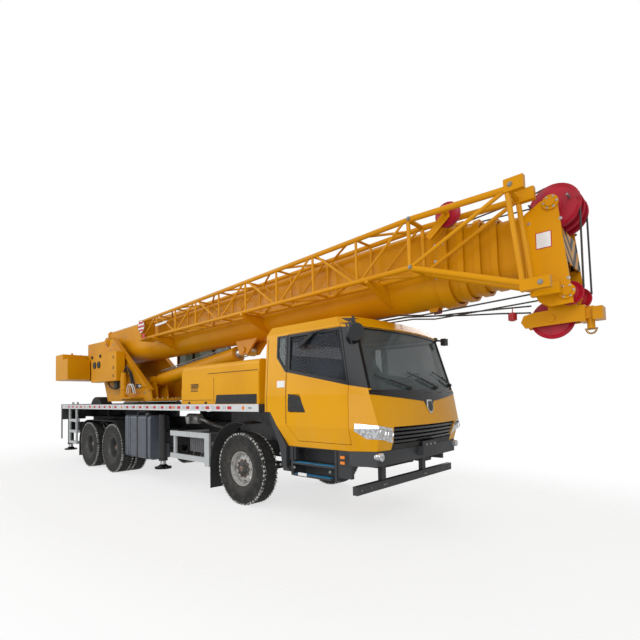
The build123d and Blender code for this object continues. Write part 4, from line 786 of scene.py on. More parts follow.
wheel_front = wheel_finish("front_wheel", AXLES["front"], (0.46, 0.46, 0.45), (0.20, 0.185, 0.16))
wheel_rear = {word: wheel_finish(f"{word}_wheel", AXLES[word], (0.085, 0.088, 0.092), (0.05, 0.046, 0.04))
              for word in ("second", "third")}

f = Finish("tread_rubber")
edge = f.noise(60, 4)
worn = f.blend((0.010, 0.010, 0.010), (0.10, 0.095, 0.085), edge.rise(0.5, 0.75) * 0.6)
tread_rubber = f.set(Base_Color=worn, Roughness=0.85, Normal=f.bump(edge, 0.3, 0.001))
f = Finish("scuffed_lugs")
edge = f.noise(38, 5)
worn = f.blend((0.02, 0.02, 0.019), (0.50, 0.49, 0.46), edge.rise(0.44, 0.56))
lug_rubber = f.set(Base_Color=worn, Roughness=0.85, Normal=f.bump(edge, 0.3, 0.001))
print("wheel finishes ready")

# %% [markdown]
# ## Tread
#
# A road tread is rows of zigzag blocks between grooves, with a row of lugs along each shoulder. It is far too
# fine for the CAD, so blocks are laid on the smooth tyre: their tops follow the tyre's crown a few
# millimetres proud, and the bare rubber between them reads as the grooves.

# %% Tread blocks for every tyre
TYRE_WIDTH = 0.290
TREAD_TOP = TYRE_RADIUS - 0.0005
LUG_COUNT = 54
RIB_WIDTH = 0.036
FRONT_TRACK, REAR_TRACK, TWIN = 1.037, 0.917, 0.165
PAIR = (REAR_TRACK - TWIN, REAR_TRACK + TWIN)
TRACK = {"front": (FRONT_TRACK,), "second": PAIR, "third": PAIR}
BLOCK_FACES = ((3, 2, 1, 0), (4, 5, 6, 7), (0, 1, 5, 4), (1, 2, 6, 5), (2, 3, 7, 6), (3, 0, 4, 7))


def wheel_body(word, side):
    """The name of a wheel's body."""
    return f"wheel_front_{side}" if word == "front" else f"wheels_{word}_{side}"


def tread_block(tray, axle_x, y0, y1, angle, sweep, skew, root):
    """One block between two widths, over a sweep of angle, its far edge skewed round the tyre."""
    points = []
    for radius in (root, TREAD_TOP):
        for y, turn in ((y0, angle), (y0, angle + sweep), (y1, angle + sweep + skew), (y1, angle + skew)):
            points.append((axle_x + radius * math.cos(turn), y, TYRE_RADIUS + radius * math.sin(turn)))
    tray.add(points, BLOCK_FACES)


def tread(word, side, sign):
    """The blocks of all tyres of one wheel body."""
    blocks, lugs = Tray(), Tray()
    x = AXLES[word]
    step = math.tau / LUG_COUNT
    for middle in TRACK[word]:
        for count in range(LUG_COUNT):
            angle = count * step
            for rib, offset in ((-0.072, 0.0), (-0.024, 0.5), (0.024, 0.0), (0.072, 0.5)):
                y = sign * middle + rib
                half = RIB_WIDTH / 2
                for y0, y1, start, skew in ((y - half, y, offset, 0.35), (y, y + half, offset + 0.35, -0.35)):
                    tread_block(blocks, x, y0, y1, angle + start * step, step * 0.93, skew * step,
                                TYRE_RADIUS - 0.008)
            for flank_sign in (-1, 1):
                y0, y1 = sorted(sign * middle + flank_sign * out for out in (0.098, TYRE_WIDTH / 2 - 0.012))
                tread_block(lugs, x, y0, y1, angle, step * 0.62, 0, TYRE_RADIUS - 0.030)
    blocks.cast(f"tread_{word}_{side}", wheel_body(word, side), tread_rubber, "tyre")
    lugs.cast(f"shoulder_lugs_{word}_{side}", wheel_body(word, side), lug_rubber, "tyre")


for word in TRACK:
    for side, sign in SIDES:
        tread(word, side, sign)

# %% [markdown]
# ## Wheel nuts and hub caps
#
# Ten nuts on one circle hold each wheel. The front ones sit on the flat of the rim disc and stand proud, the
# rear ones sit deep in the dished rim. The hub cap carries a ring of small bolts of its own.

# %% Nuts for every wheel
NUT_CIRCLE = 0.1275
CAP_CIRCLE = 0.073


def hub(word, side, sign, face, cap):
    """Ten wheel nuts and a bolted cap; face and cap are widths on the left side."""
    nuts = Tray()
    x = AXLES[word]
    out = (0, sign, 0)
    for a, b in circle(10, NUT_CIRCLE):
        nuts.bolt((x + a, sign * face, TYRE_RADIUS + b), out, 0.034, 0.030)
    for a, b in circle(8, CAP_CIRCLE, 0.5):
        nuts.bolt((x + a, sign * (cap - 0.022), TYRE_RADIUS + b), out, 0.020, 0.014)
    nuts.lathe([(0.052, 0), (0.050, 0.012), (0.034, 0.022), (0.030, 0.024)],
               (x, sign * (cap - 0.014), TYRE_RADIUS), out, 28)
    nuts.cast(f"nuts_{word}_{side}", wheel_body(word, side), nut_steel, "steel", 0.0012)


f = Finish("rusty_nuts")
rust = f.noise(45, 4).rise(0.42, 0.62)
nut_steel = f.set(Base_Color=f.blend((0.20, 0.19, 0.18), (0.17, 0.065, 0.028), rust),
                  Metallic=(1 - rust) * 0.7, Roughness=(rust * 0.4 + 0.4).held(),
                  Normal=f.bump(rust, 0.2, 0.001))
for side, sign in SIDES:
    hub("front", side, sign, FRONT_TRACK + 0.067, FRONT_TRACK + 0.118)
    for word in ("second", "third"):
        hub(word, side, sign, REAR_TRACK + TWIN - 0.148, REAR_TRACK + TWIN + 0.040)

# %% [markdown]
# ## Reflectors and lamps along the deck
#
# The pale edge strip carries a row of red squares with grey ones between them, and four amber lamps on each
# side. Every plate that would carry words or a number is left bare.

# %% Edge strip furniture
REDS = [-0.157 - 0.2945 * count for count in range(25)]
AMBERS = (0.178, -1.816, -3.968, -6.10)
STRIP_Y, STRIP_Z = 1.25, 1.475
LAMP_GAP = 0.06
reds, greys, ambers, slots = Tray(), Tray(), Tray(), Tray()
for sign in (1, -1):
    for station in REDS:
        if min(abs(station - lamp) for lamp in AMBERS) > LAMP_GAP:
            reds.block(at(station, sign * STRIP_Y, STRIP_Z), 0.05, 0.002, 0.024)
            greys.block(at(station - 0.125, sign * STRIP_Y, STRIP_Z), 0.05, 0.002, 0.022)
    for station in AMBERS:
        centre = at(station, sign * (STRIP_Y + 0.001), STRIP_Z)
        ambers.lathe([(0.030, 0), (0.030, 0.0015), (0.022, 0.0027)], centre, (0, sign, 0), 20)
    slots.box(at(0.30, sign * STRIP_Y - 0.002, 1.462), at(0.37, sign * STRIP_Y + 0.003, 1.488))
    for station in (-0.62, -1.9, -2.9, -4.6, -5.8, -7.2):
        slots.bolt(at(station, sign * (STRIP_Y - 0.001), 1.505), (0, sign, 0), 0.020, 0.004)
reds.cast("red_reflectors", "carrier", red_paint, "lens")
greys.cast("grey_reflectors", "carrier", grey_square, "lens")
ambers.cast("amber_lamps", "carrier", amber, "lens")
slots.cast("edge_strip_fittings", "carrier", dull_steel, "dark")

# %% [markdown]
# ## The driver's cab
#
# Three long wipers rest against the bowed screen, so their blades are laid on the screen's own curve. The
# doors get a sunk handle and a black seal round the window. The steps get treads of blue grip strip.

# %% Wipers, handles, mirrors and plates
WIPERS = (
    # pivot width and height, tip width and height
    (-0.399, 1.713, -1.001, 1.871),
    (0.306, 1.728, -0.371, 1.918),
    (0.993, 1.767, 0.335, 1.943),
)


def across(ends, shares, out):
    """Points on the screen at shares of the way between two ends."""
    y0, z0, y1, z1 = ends
    return [screen(y0 + (y1 - y0) * share, z0 + (z1 - z0) * share, out) for share in shares]


def beside(sign, out, *points):
    """Points on one of the cab's flanks, from stations and heights."""
    return [at(station, sign * flank(z, out), z) for station, z in points]


wipers = Tray()
for ends in WIPERS:
    wipers.tube(across(ends, (0.0, 0.2, 0.4, 0.6), 0.030), 0.011, 8)
    wipers.tube(across(ends, (0.18, 0.36, 0.54, 0.72, 0.88, 1.0), 0.016), 0.007, 6)
    wipers.lathe([(0.026, -0.03), (0.026, 0.016), (0.016, 0.028)], screen(*ends[:2], 0.008), (1, 0, 0.3), 16)
wipers.cast("wipers", "carrier", hose_rubber, "dark", 0.001)

for side, sign in SIDES:
    handle = Tray()
    pocket = beside(sign, -0.006, (1.118, 1.666), (1.333, 1.633), (1.432, 1.425), (1.113, 1.431))
    handle.prism(pocket, (0, sign * 0.0075, 0))
    handle.tube(beside(sign, -0.005, (1.16, 1.61), (1.29, 1.592)), 0.0080, 8)
    handle.tube(beside(sign, -0.005, (1.17, 1.60), (1.17, 1.47)), 0.0078, 8)
    handle.cast(f"door_handle_{side}", f"door_{side}", hose_rubber, "dark", 0.0015)
    seals = Tray()
    corner = (1.135, 1.990)
    seals.tube(beside(sign, 0.001, corner, (2.080, 1.800), (1.950, 2.430), (1.135, 2.430), corner), 0.006, 6)
    seals.cast(f"window_seal_{side}", f"door_{side}", hose_rubber, "dark")

plates = Tray()
plates.prism(beside(-1, -0.002, (0.903, 1.756), (1.05, 1.756), (1.05, 1.847), (0.903, 1.847)), (0, -0.004, 0))
plates.box(at(1.27, -1.232, 0.600), at(1.42, -1.228, 0.640))
plates.cast("blank_plates", "carrier", white_paint, "aluminium", 0.001)

mirror = Tray()
tilt = Matrix.Rotation(math.radians(-38), 3, "Y") @ Matrix.Rotation(math.radians(10), 3, "Z")
mirror.tilted(at(1.44, -1.228, 2.36), (0.25, 0.030, 0.055), tilt)
arm = places((1.53, -1.21, 2.43), (1.68, -1.20, 2.46), (1.85, -1.185, 2.45), (1.93, -1.172, 2.44))
mirror.tube(arm, 0.011, 8, 1)
mirror.cast("folded_mirror", "door_right", hose_rubber, "dark", 0.008)

glassy = Tray()
face = Vector((1, -0.35, -0.35)).normalized()
glassy.lathe([(0.096, 0), (0.096, 0.003), (0.08, 0.006)], at(2.175, -1.160, 2.385) - face * 0.026, -face, 36)
glassy.cast("mirror_glass", "carrier", bright_steel, "chrome")

# %% Grip strips, bolts, seams, bare badge and lamp bowls
blue = Tray()
for sign in (-1, 1):
    for x0, x1, outer, z in ((1.16, 1.86, 1.213, 0.7648), (1.20, 1.80, 1.225, 0.6148)):
        y0, y1 = sorted((sign * 1.130, sign * outer))
        blue.box(at(x0, y0, z), at(x1, y1, z + 0.0047))
blue.cast("step_grip_strips", "carrier", strip_blue, "dark")

STEP_BOLTS = ((0.955, 1.236, 0.713), (1.802, 1.222, 0.697), (1.20, 1.222, 0.697), (0.955, 1.236, 0.86))
steps = Tray()
for sign in (1, -1):
    for station, y, z in STEP_BOLTS:
        steps.bolt(at(station, sign * y, z), (0, sign, 0), 0.030, 0.012)
for y in (-0.11, 0.0, 0.11):
    steps.bolt(at(2.500, y, 0.985), (1, 0, 0), 0.030, 0.016)
for y in (-0.675, -0.625, 0.365, 0.415):
    steps.bolt(at(2.214, y, 0.52), (1, 0, 0), 0.024, 0.012)
for y in (-1.15, -0.95, 0.75, 0.95, 1.15):
    steps.bolt(at(2.214, y, 0.52), (1, 0, 0), 0.018, 0.008)
steps.cast("step_and_bumper_bolts", "carrier", dull_steel, "steel")

seams = Tray()
for sign in (1, -1):
    for station, heights in ((0.700, (1.05, 1.30, 1.64, 2.05, 2.44)), (1.075, (1.27, 1.64, 2.05, 2.46))):
        seams.tube(beside(sign, -0.0015, *[(station, z) for z in heights]), 0.0045, 6)
for z, out, radius, a, b, c in ((1.655, 0.002, 0.007, 1.10, 0.8, 0.4), (2.475, 0.001, 0.006, 1.02, 0.7, 0.35)):
    seams.tube([screen(y, z, out) for y in (-a, -b, -c, 0.0, c, b, a)], radius, 6)
seams.cast("cab_seams", "carrier", hose_rubber, "dark")

badge = Tray()
shield = [(-0.085, 1.46), (-0.035, 1.39), (0.035, 1.39), (0.085, 1.46), (0.055, 1.565), (-0.055, 1.565)]
badge.prism([screen(y, z, 0.001) for y, z in shield], (0.012, 0, 0))
badge.cast("bare_badge_base", "carrier", bright_steel, "chrome", 0.003)
badge = Tray()
MIDDLE_Z, SHRINK = 1.478, 0.74
inner = [screen(y * SHRINK, MIDDLE_Z + (z - MIDDLE_Z) * SHRINK, 0.010) for y, z in shield]
badge.prism(inner, (0.008, 0, 0))
badge.cast("bare_badge_face", "carrier", black_gloss, "dark", 0.002)

bowls = Tray()
for sign in (1, -1):
    for y, z, size in ((0.915, 1.168, 0.040), (1.035, 1.192, 0.046)):
        profile = [(size, 0), (size, 0.006), (size * 0.84, 0.010), (size * 0.60, 0.002), (size * 0.3, 0.002)]
        bowls.lathe(profile, screen(sign * y, z, 0.004), (1, sign * 0.55, 0.1), 28)
bowls.cast("headlamp_bowls", "carrier", bright_steel, "chrome")

# %% [markdown]
# ## Engine hood, tanks and rack
#
# The hood's long black plaque would carry the model's name, so it stays bare. The tanks get straps, a
# filler cap and a pipe. The rack behind the front wheel holds a ribbed battery box, the air filter and the
# silencer, and the gearbox housing runs between the frame rails.

# %% Hood plaque, vents and latches
SEAMS = (
    # both ends of each line on the hood's side
    ((-1.55, 1.2075, 1.600), (-0.66, 1.2075, 1.600)),
    ((-0.62, 1.2075, 1.56), (-0.62, 1.2075, 1.97)),
    ((-0.80, 1.2000, 2.035), (0.46, 1.2000, 2.035)),
)
plaque, hood = Tray(), Tray()
for sign in (1, -1):
    y = sign * 1.2075
    board = places((-0.58, y, 1.538), (0.44, y, 1.538), (0.44, y, 1.680), (-0.546, y, 1.680))
    plaque.prism(board, (0, sign * 0.004, 0))
    for row in range(6):
        hood.block(at(-1.19, sign * 1.2055, 1.7505 + row * 0.024), 0.11, 0.004, 0.0055)
    for station in (-1.35, -0.85, -0.25, 0.35):
        hood.block(at(station, sign * 1.206, 1.555), 0.03, 0.008, 0.018)
    for ends in SEAMS:
        hood.tube([at(station, sign * y, z) for station, y, z in ends], 0.004, 6)
plaque.cast("bare_hood_plaque", "carrier", black_gloss, "dark", 0.001)
for y in (-0.7, 0.0, 0.7):
    hood.staple(at(-0.10, y, 2.200), (0, 0.09, 0), 0.025, 0.008)
hood.cast("hood_vents_and_latches", "carrier", hose_rubber, "dark", 0.001)

# %% Tank straps, caps and rack contents
straps, caps = Tray(), Tray()
for sign in (1, -1):
    for station in (-3.72, -3.34, -2.92):
        straps.block(at(station, sign * 1.2 + 0.0005, 0.87), 0.025, 0.0035, 0.43)
        straps.block(at(station, sign * 1.001, 1.312), 0.025, 0.201, 0.0025)
        straps.bolt(at(station, sign * 1.203, 0.52), (0, sign, 0), 0.026, 0.014)
    y = sign * 1.06
    caps.lathe([(0.055, 0), (0.055, 0.035), (0.045, 0.045), (0.012, 0.050)], at(-3.13, y, 1.309), UP, 24)
    pipe = places((-3.60, y, 1.309), (-3.60, y, 1.36), (-3.50, sign * 1.02, 1.38), (-3.40, sign * 0.9, 1.36))
    caps.tube(pipe, 0.014, 8, 2)
straps.cast("tank_straps", "carrier", frame_black, "steel", 0.001)
caps.cast("tank_caps", "carrier", cast_grey, "dark", 0.002)

spine = Tray()
spine.box(at(-2.05, -0.27, 1.19), at(0.45, 0.27, 1.46))
for row in range(12):
    x = -1.98 + row * 0.2
    spine.box(at(x, -0.285, 1.20), at(x + 0.03, 0.285, 1.45))
spine.cast("gearbox_housing", "carrier", frame_black, "frame", 0.01)

battery, silencer = Tray(), Tray()
battery.box(at(-1.50, -1.10, 0.700), at(-0.98, -0.72, 1.000))
for row in range(9):
    x = -1.47 + row * 0.058
    battery.box(at(x, -1.112, 0.72), at(x + 0.026, -1.098, 0.98))
battery.box(at(-1.52, -1.115, 1.000), at(-0.96, -0.71, 1.022))
battery.cast("battery_box", "carrier", cast_grey, "dark", 0.004)
silencer.lathe([(0.07, 0), (0.095, 0.02), (0.095, 0.36), (0.07, 0.38)], at(-1.88, -0.88, 1.26), (1, 0, 0), 32)
exhaust = places((-1.51, -0.88, 1.26), (-1.40, -0.88, 1.25), (-1.34, -0.80, 1.18), (-1.34, -0.44, 1.08))
silencer.tube(exhaust, 0.032, 12, 2)
silencer.lathe([(0.045, 0), (0.045, 0.10), (0.030, 0.13)], at(-1.68, -1.02, 1.30), (0, 0, -1), 20)
silencer.cast("silencer_and_filter", "carrier", dull_steel, "steel", 0.002)

# %% [markdown]
# ## Deck, slew ring and underside
#
# The ring is clamped by a circle of bolts, the deck has lashing hooks, and air and oil lines run along the
# frame rails and down to each axle.

# %% Ring bolts, hooks and hoses
SLEW_STATION = -4.95
ring_bolts = Tray()
for a, b in circle(36, 0.730):
    ring_bolts.bolt(at(SLEW_STATION + a, b, 1.6595), UP, 0.030, 0.022)
ring_bolts.cast("turret_ring_bolts", "turret", bright_steel, "steel")

hooks = Tray()
for sign in (1, -1):
    for station in (-7.70, -7.36, -2.10, -1.88):
        hooks.staple(at(station, sign * 0.98, 1.528), (0.05, 0, 0), 0.062, 0.011)
hooks.cast("lashing_hooks", "carrier", frame_black, "frame")

lines = Tray()
for sign in (1, -1):
    y = sign * 0.432
    for z in (0.98, 1.01, 1.04):
        run = places((-7.1, y, z), (-4.2, y, z), (-2.9, sign * 0.434, z + 0.01), (-2.75, y, z), (-0.75, y, z))
        lines.tube(run, 0.010, 6)
    for axle in AXLES.values():
        x = axle - FRONT_AXLE
        drop = places((x - 0.32, sign * 0.43, 1.0), (x - 0.26, sign * 0.47, 0.92),
                      (x - 0.18, sign * 0.5, 0.80), (x - 0.16, sign * 0.52, 0.70))
        lines.tube(drop, 0.010, 6, 2)
lines.cast("frame_hoses", "carrier", hose_rubber, "dark")

# %% [markdown]
# ## Turret
#
# The locker beside the boom has four round covers and three latches. Pale bolt heads hold the side plates,
# and black hoses loop past the slewing motor with white ones beside them.

# %% Locker covers, bolts and hoses
COVERS = ((-6.66, 2.780, 0.045), (-6.12, 2.780, 0.045), (-6.50, 2.560, 0.092), (-6.22, 2.560, 0.092))
PLATE_BOLTS = ((-6.05, 3.10), (-6.20, 2.98), (-7.70, 3.15), (-7.70, 2.40), (-7.0, 3.18), (-4.6, 1.80),
               (-4.3, 1.80), (-5.3, 1.80), (-5.9, 1.80), (-6.3, 1.85))
reels, bolts, hoses, whites = Tray(), Tray(), Tray(), Tray()
for station, z, size in COVERS:
    profile = [(size, 0), (size, 0.020), (size * 0.85, 0.026), (size * 0.5, 0.026), (size * 0.45, 0.018)]
    reels.lathe(profile, at(station, -0.848, z), (0, -1, 0), 32)
for z in (2.20, 2.40, 2.66):
    reels.box(at(-5.36, -0.856, z), at(-5.32, -0.848, z + 0.07))
reels.cast("locker_fittings", "turret", hose_rubber, "dark", 0.002)
for sign in (1, -1):
    for station, z in PLATE_BOLTS:
        bolts.bolt(at(station, sign * 0.5495, z), (0, sign, 0), 0.040, 0.018)
    for a, b in circle(8, 0.095):
        bolts.bolt(at(PIVOT_STATION + a, sign * 0.5795, PIVOT_Z + b), (0, sign, 0), 0.022, 0.012)
for station in (-8.45, -8.2, -7.95):
    for sign in (1, -1):
        bolts.bolt(at(station, sign * 0.70, 2.949), UP, 0.050, 0.025)
bolts.cast("turret_bolts", "turret", bright_steel, "steel")
for count in range(3):
    y = -0.64 - 0.035 * count
    drop = 0.05 * count
    hoses.tube(places((-5.14, y, 2.16), (-5.02 + drop * 0.3, y, 2.32 + drop), (-4.80, y - 0.02, 2.36 + drop),
                      (-4.66, y, 2.10), (-4.62, y, 1.80)), 0.016, 8, 2)
for y in (-0.70, -0.745):
    loop = places((-4.84, y, 1.78), (-4.74, y - 0.02, 1.98), (-4.58, y, 2.02), (-4.46, y, 1.78))
    whites.tube(loop, 0.011, 8, 2)
hoses.tube(places((-6.20, -0.62, 2.12), (-6.0, -0.66, 1.98), (-5.6, -0.68, 1.90), (-5.3, -0.66, 1.98),
                  (-5.22, -0.62, 2.12)), 0.020, 8, 2)
hoses.cast("turret_hoses", "turret", hose_rubber, "dark")
whites.cast("white_hoses", "turret", white_paint, "aluminium")
bag = Tray()
bag.prism(places((-5.62, -0.64, 1.90), (-5.46, -0.64, 1.92), (-5.44, -0.64, 2.11), (-5.64, -0.64, 2.11)),
          (0, -0.08, 0))
bag.cast("hanging_tarpaulin", "turret", drab_green, "dark", 0.02)
glow = Tray()
glow.lathe([(0.036, 0), (0.036, 0.006), (0.026, 0.010)], at(-4.1305, -0.76, 1.94), (1, 0, 0), 24)
glow.cast("work_lamp_lens", "turret", lamp_lens, "lens")

# %% [markdown]
# ## Ropes
#
# Steel ropes run from the head's sheaves back under the boom, over the cab roof, to the stowed hook. They
# are held taut, so they are plain bars of rope. The front lengths ride on the head and the rear lengths on
# the boom. A second set lies along the boom's top from the winches to the head.

# %% Running ropes
ROPE = 0.0095
SPLIT = 2.97
front_ropes, rear_ropes = Tray(), Tray()
for y in (-0.2, 0.2):
    front_ropes.tube(places((4.062, y, 2.697), (3.817, y, 2.689), (SPLIT, y, 2.662)), ROPE, 8)
    rear_ropes.tube(places((SPLIT, y, 2.662), (2.52, y, 2.650), (2.20, y, 2.694), (0.62, y * 0.8, 2.690),
                           (0.47, 0.12 + y * 0.1, 2.565)), ROPE, 8)
for z, y, turn in ((2.520, -0.012, 2.605), (2.600, 0.012, 2.640)):
    front_ropes.tube(places((3.745, y, z), (3.40, y, (z + turn) / 2), (SPLIT, y, turn)), ROPE, 8)
    rear_ropes.tube(places((SPLIT, y, turn), (2.60, y, 2.655), (2.20, y, 2.696), (0.62, y + 0.05, 2.694),
                           (0.47, y + 0.13, 2.575)), ROPE, 8)
front_ropes.cast("ropes_at_head", "boom_head", rope, "steel")
rear_ropes.cast("ropes_under_boom", "boom", rope, "steel")

top_ropes, over_head = Tray(), Tray()
for y in (-0.03, 0.03):
    wide = y * 5.66
    top_ropes.tube(boom_places((-0.40, y, 0.395), (4.0, y, 0.390), (9.30, y, 0.392)), ROPE, 8)
    over_head.tube(boom_places((9.30, y, 0.392), (10.20, y * 5.6, 0.400), (10.36, wide, 0.438),
                               (10.47, wide, 0.440), (10.58, wide, 0.395), (10.67, wide, 0.29),
                               (10.672, wide, 0.16), (10.668, y * 6.6, -0.70)), ROPE, 8)
top_ropes.cast("ropes_on_boom", "boom", rope, "steel")
over_head.cast("ropes_over_head", "boom_head", rope, "steel")

weight = Tray()
weight.lathe([(0.020, 0), (0.046, 0.012), (0.046, 0.085), (0.020, 0.10)], at(3.55, 0, 2.455), UP, 24)
weight.tube(places((3.55, 0, 2.55), (3.55, 0, 2.60)), 0.006, 6)
weight.cast("red_limit_weight", "boom_head", red_paint, "sheave", 0.002)

# %% [markdown]
# ## Boom and head
#
# The base section's collar is screwed together with a row of bolts, and pads of bronze peep out at its top
# corners. The boom's flanks, which would carry lettering, stay bare. The head has rope keepers, pin bolts and
# a blank white plate with a dark red border.

# %% Collar bolts and pads
collar_bolts, pads = Tray(), Tray()
for sign in (1, -1):
    for along in (9.21, 9.31):
        for up in (-0.30, -0.10, 0.10, 0.28):
            collar_bolts.bolt(on_boom(along, sign * 0.361, up), (0, sign, 0), 0.030, 0.014)
    for along, width in ((-0.35, 0.3495), (0.20, 0.3295), (0.60, 0.3295)):
        collar_bolts.bolt(on_boom(along, sign * width, 0.10), (0, sign, 0), 0.034, 0.014)
    pads.box(on_boom(9.345, sign * 0.19 - 0.06, 0.345), on_boom(9.365, sign * 0.19 + 0.06, 0.372))
collar_bolts.cast("collar_bolts", "boom", bright_steel, "steel")
pads.cast("wear_pads", "boom", bronze, "steel", 0.002)

rollers = Tray()
for along in (8.99, 9.06):
    rollers.lathe([(0.026, -0.048), (0.016, -0.040), (0.016, 0.040), (0.026, 0.048)],
                  on_boom(along, 0, -0.638), (0, 1, 0), 20)
rollers.cast("rope_guide_rollers", "boom", nylon, "sheave")

# %% Head details
KEEPERS = (
    # place along the head, half length, height and radius
    (0.17, 0.29, 0.26, 0.011),
    (0.52, 0.29, 0.26, 0.011),
    (0.16, 0.30, 0.12, 0.014),
    (0.40, 0.30, -0.80, 0.012),
)
head_bolts, head_white, head_red, keepers = Tray(), Tray(), Tray(), Tray()
for sign in (1, -1):
    for along, up in ((HEAD + 0.38, 0.21), (HEAD + 0.48, -0.73)):
        for a, b in circle(6, 0.060):
            head_bolts.bolt(on_boom(along + a, sign * 0.3495, up + b), (0, sign, 0), 0.018, 0.010)
    for along, up in ((0.17, 0.05), (0.17, -0.50), (0.30, -0.72), (0.46, 0.02), (0.50, -0.60)):
        head_bolts.bolt(on_boom(HEAD + along, sign * 0.3295, up), (0, sign, 0), 0.026, 0.012)
    for tray, y, edge in ((head_red, 0.331, 0.0), (head_white, 0.333, 0.008)):
        tray.box(on_boom(HEAD + 0.225 + edge, sign * y - 0.0015, -0.245 + edge),
                 on_boom(HEAD + 0.375 - edge, sign * y + 0.0015, -0.075 - edge))
for along, half, up, radius in KEEPERS:
    keepers.bar(on_boom(HEAD + along, -half, up), on_boom(HEAD + along, half, up), radius)
head_bolts.cast("head_bolts", "boom_head", bright_steel, "steel")
head_red.cast("head_plate_border", "boom_head", red_paint, "paint")
head_white.cast("bare_head_plate", "boom_head", white_paint, "aluminium")
keepers.cast("rope_keepers", "boom_head", dull_steel, "steel")

NOSE = HEAD + 0.61
shackle = Tray()
shackle.tube([on_boom(NOSE + a, 0, -1.10 + b) for a, b in circle(16, 0.042, 8)[:9]], 0.010, 8)
shackle.bar(on_boom(NOSE - 0.055, 0, -1.095), on_boom(NOSE + 0.055, 0, -1.095), 0.010)
shackle.cast("nose_shackle", "boom_head", bronze, "steel")

# %% Jib tip, jib pins and hook details
board_red, board_white, jib_pins = Tray(), Tray(), Tray()
board_white.lathe([(0.135, 0), (0.135, 0.012)], at(-3.95, -0.802, 3.275), (0, -1, 0), 40)
for row, half in ((-0.085, 0.10), (0.0, 0.132), (0.085, 0.10)):
    board_red.block(at(-3.95, -0.816, 3.275 + row), half, 0.0025, 0.022)
board_red.box(at(-3.88, -0.822, 3.00), at(-3.76, -0.816, 3.10))
flag = places((-3.40, -0.765, 3.255), (-2.84, -0.775, 3.268), (-2.90, -0.775, 3.225), (-3.34, -0.765, 3.205))
board_white.prism(flag, (0, -0.008, 0))
board_white.cast("jib_tip_board", "boom", white_paint, "aluminium", 0.001)
board_red.cast("jib_tip_stripes", "boom", red_paint, "paint", 0.001)
for y, sign in ((-0.409, 1), (-0.826, -1)):
    for along, up in ((9.12, 0.33), (9.12, -0.24), (10.22, 0.315), (10.44, -0.705)):
        jib_pins.bolt(on_boom(along, y, up), (0, sign, 0), 0.040, 0.018)
jib_pins.cast("jib_pins", "boom", dull_steel, "steel")

hook_trim = Tray()
for y, sign in ((0.09, -1), (0.25, 1)):
    for along in (6.56, 6.70, 6.84):
        hook_trim.bolt(on_boom(along, y, -0.80), (0, sign, 0), 0.036, 0.014)
hook_trim.cast("hook_block_bolts", "boom", dull_steel, "steel")

# %% Lift cylinder pipes and operator's cab fittings
lift = Tray()
low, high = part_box("lift_barrel")
low_point = Vector((low.x + 0.25, 0, low.z + 0.36))
high_point = Vector((high.x - 0.25, 0, high.z - 0.02))
middle = low_point.lerp(high_point, 0.5)
for y in (-0.06, 0.06):
    pipe = [low_point + Vector((0.15, y, 0)), middle + Vector((0, y, 0)), high_point + Vector((-0.12, y, 0))]
    lift.tube(pipe, 0.013, 8)
lift.cast("lift_cylinder_pipes", "lift_barrel", dull_steel, "steel")

cabin = Tray()
rail = places((-3.88, 1.230, 1.88), (-3.88, 1.245, 1.93), (-3.88, 1.245, 2.48), (-3.88, 1.230, 2.54))
cabin.tube(rail, 0.008, 8, 1)
cabin.tube(places((-3.10, 0.80, 2.22), (-3.16, 0.95, 2.55), (-3.22, 1.02, 2.72)), 0.010, 8)
cabin.cast("operator_cab_rail", "turret", hose_rubber, "dark")
beacon = Tray()
beacon.lathe([(0.05, 0), (0.055, 0.02), (0.045, 0.09), (0.020, 0.11)], at(-4.2, 0.95, 3.089), UP, 24)
beacon.cast("beacon", "turret", amber, "lens")

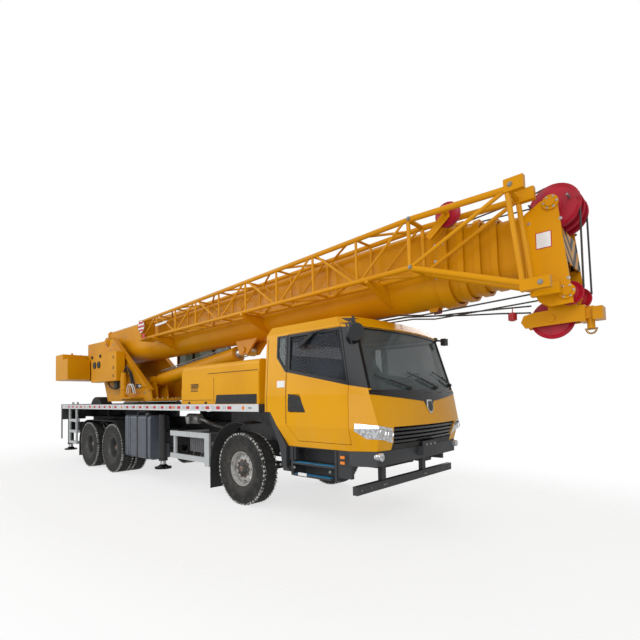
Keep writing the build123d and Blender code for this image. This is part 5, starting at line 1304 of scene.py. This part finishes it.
# %% Bolts of the outrigger pads
for end in ("front", "rear"):
    for side, sign in SIDES:
        low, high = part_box(f"outrigger_jack_{end}_{side}")
        x, y = (low.x + high.x) / 2, (low.y + high.y) / 2
        pad = Tray()
        for a, b in circle(6, 0.115):
            pad.bolt((x + a, y + b, low.z + 0.029), UP, 0.022, 0.012)
        pad.cast(f"pad_bolts_{end}_{side}", f"outrigger_jack_{end}_{side}", nut_steel, "steel")

# %% [markdown]
# ## Dressing the CAD
#
# Every CAD node gets its finish here, by name. Bodies that move keep their own nodes, so a door or a boom
# section carries its paint with it. The two tyres and the rim of a rear wheel are one mesh, so each axle has
# a finish that knows where its own centre is.

# %% A finish for every node
FINISHES = (
    (frame_black, "chassis_frame axles mudguards deck_cover"),
    (chequer, "deck"),
    (edge_strip, "side_valances"),
    (silver_rack, "side_guards"),
    (tank_grey, "fuel_tank hydraulic_tank"),
    (ring_olive, "slew_ring"),
    (cast_grey, "engine_block"),
    (paint, "engine_hood"),
    (cab_paint, "cab_shell door_left door_right"),
    (cab_glass, "cab_glass"),
    (side_glass, "door_glass_left door_glass_right"),
    (interior, "cab_interior"),
    (lamp_lens, "lamps"),
    (black_gloss, "grille"),
    (cladding, "bumper mirrors"),
    (turret_paint, "turret_frame turret_boxes counterweight lift_barrel"),
    (wound_rope, "winches"),
    (operator_paint, "operator_cab operator_door"),
    (teal_glass, "operator_glass operator_door_glass"),
    (boom_paint, "boom_base boom_section_2 boom_section_3 boom_section_4 jib jib_frame hook_block"),
    (head_paint, "boom_head"),
    (nylon, "head_sheaves jib_sheave"),
    (bright_steel, "lift_rod"),
)
FAMILIES = (
    ("wheel_front_", wheel_front), ("wheels_second_", wheel_rear["second"]),
    ("wheels_third_", wheel_rear["third"]), ("knuckle_", frame_black),
    ("outrigger_beam_", frame_black), ("outrigger_jack_", jack_steel),
)
FINISH_OF = {name: material for material, names in FINISHES for name in names.split()}
for name, node in NODES.items():
    family = [material for start, material in FAMILIES if name.startswith(start)]
    slots = node.data.materials
    slots.clear()
    slots.append(family[0] if family else FINISH_OF[name])
print("dressed", len(NODES), "nodes")

# %% [markdown] ## End
# The dressed machine has to stay inside the CAD model's own box, because everyone who uses the part
# relies on that size.
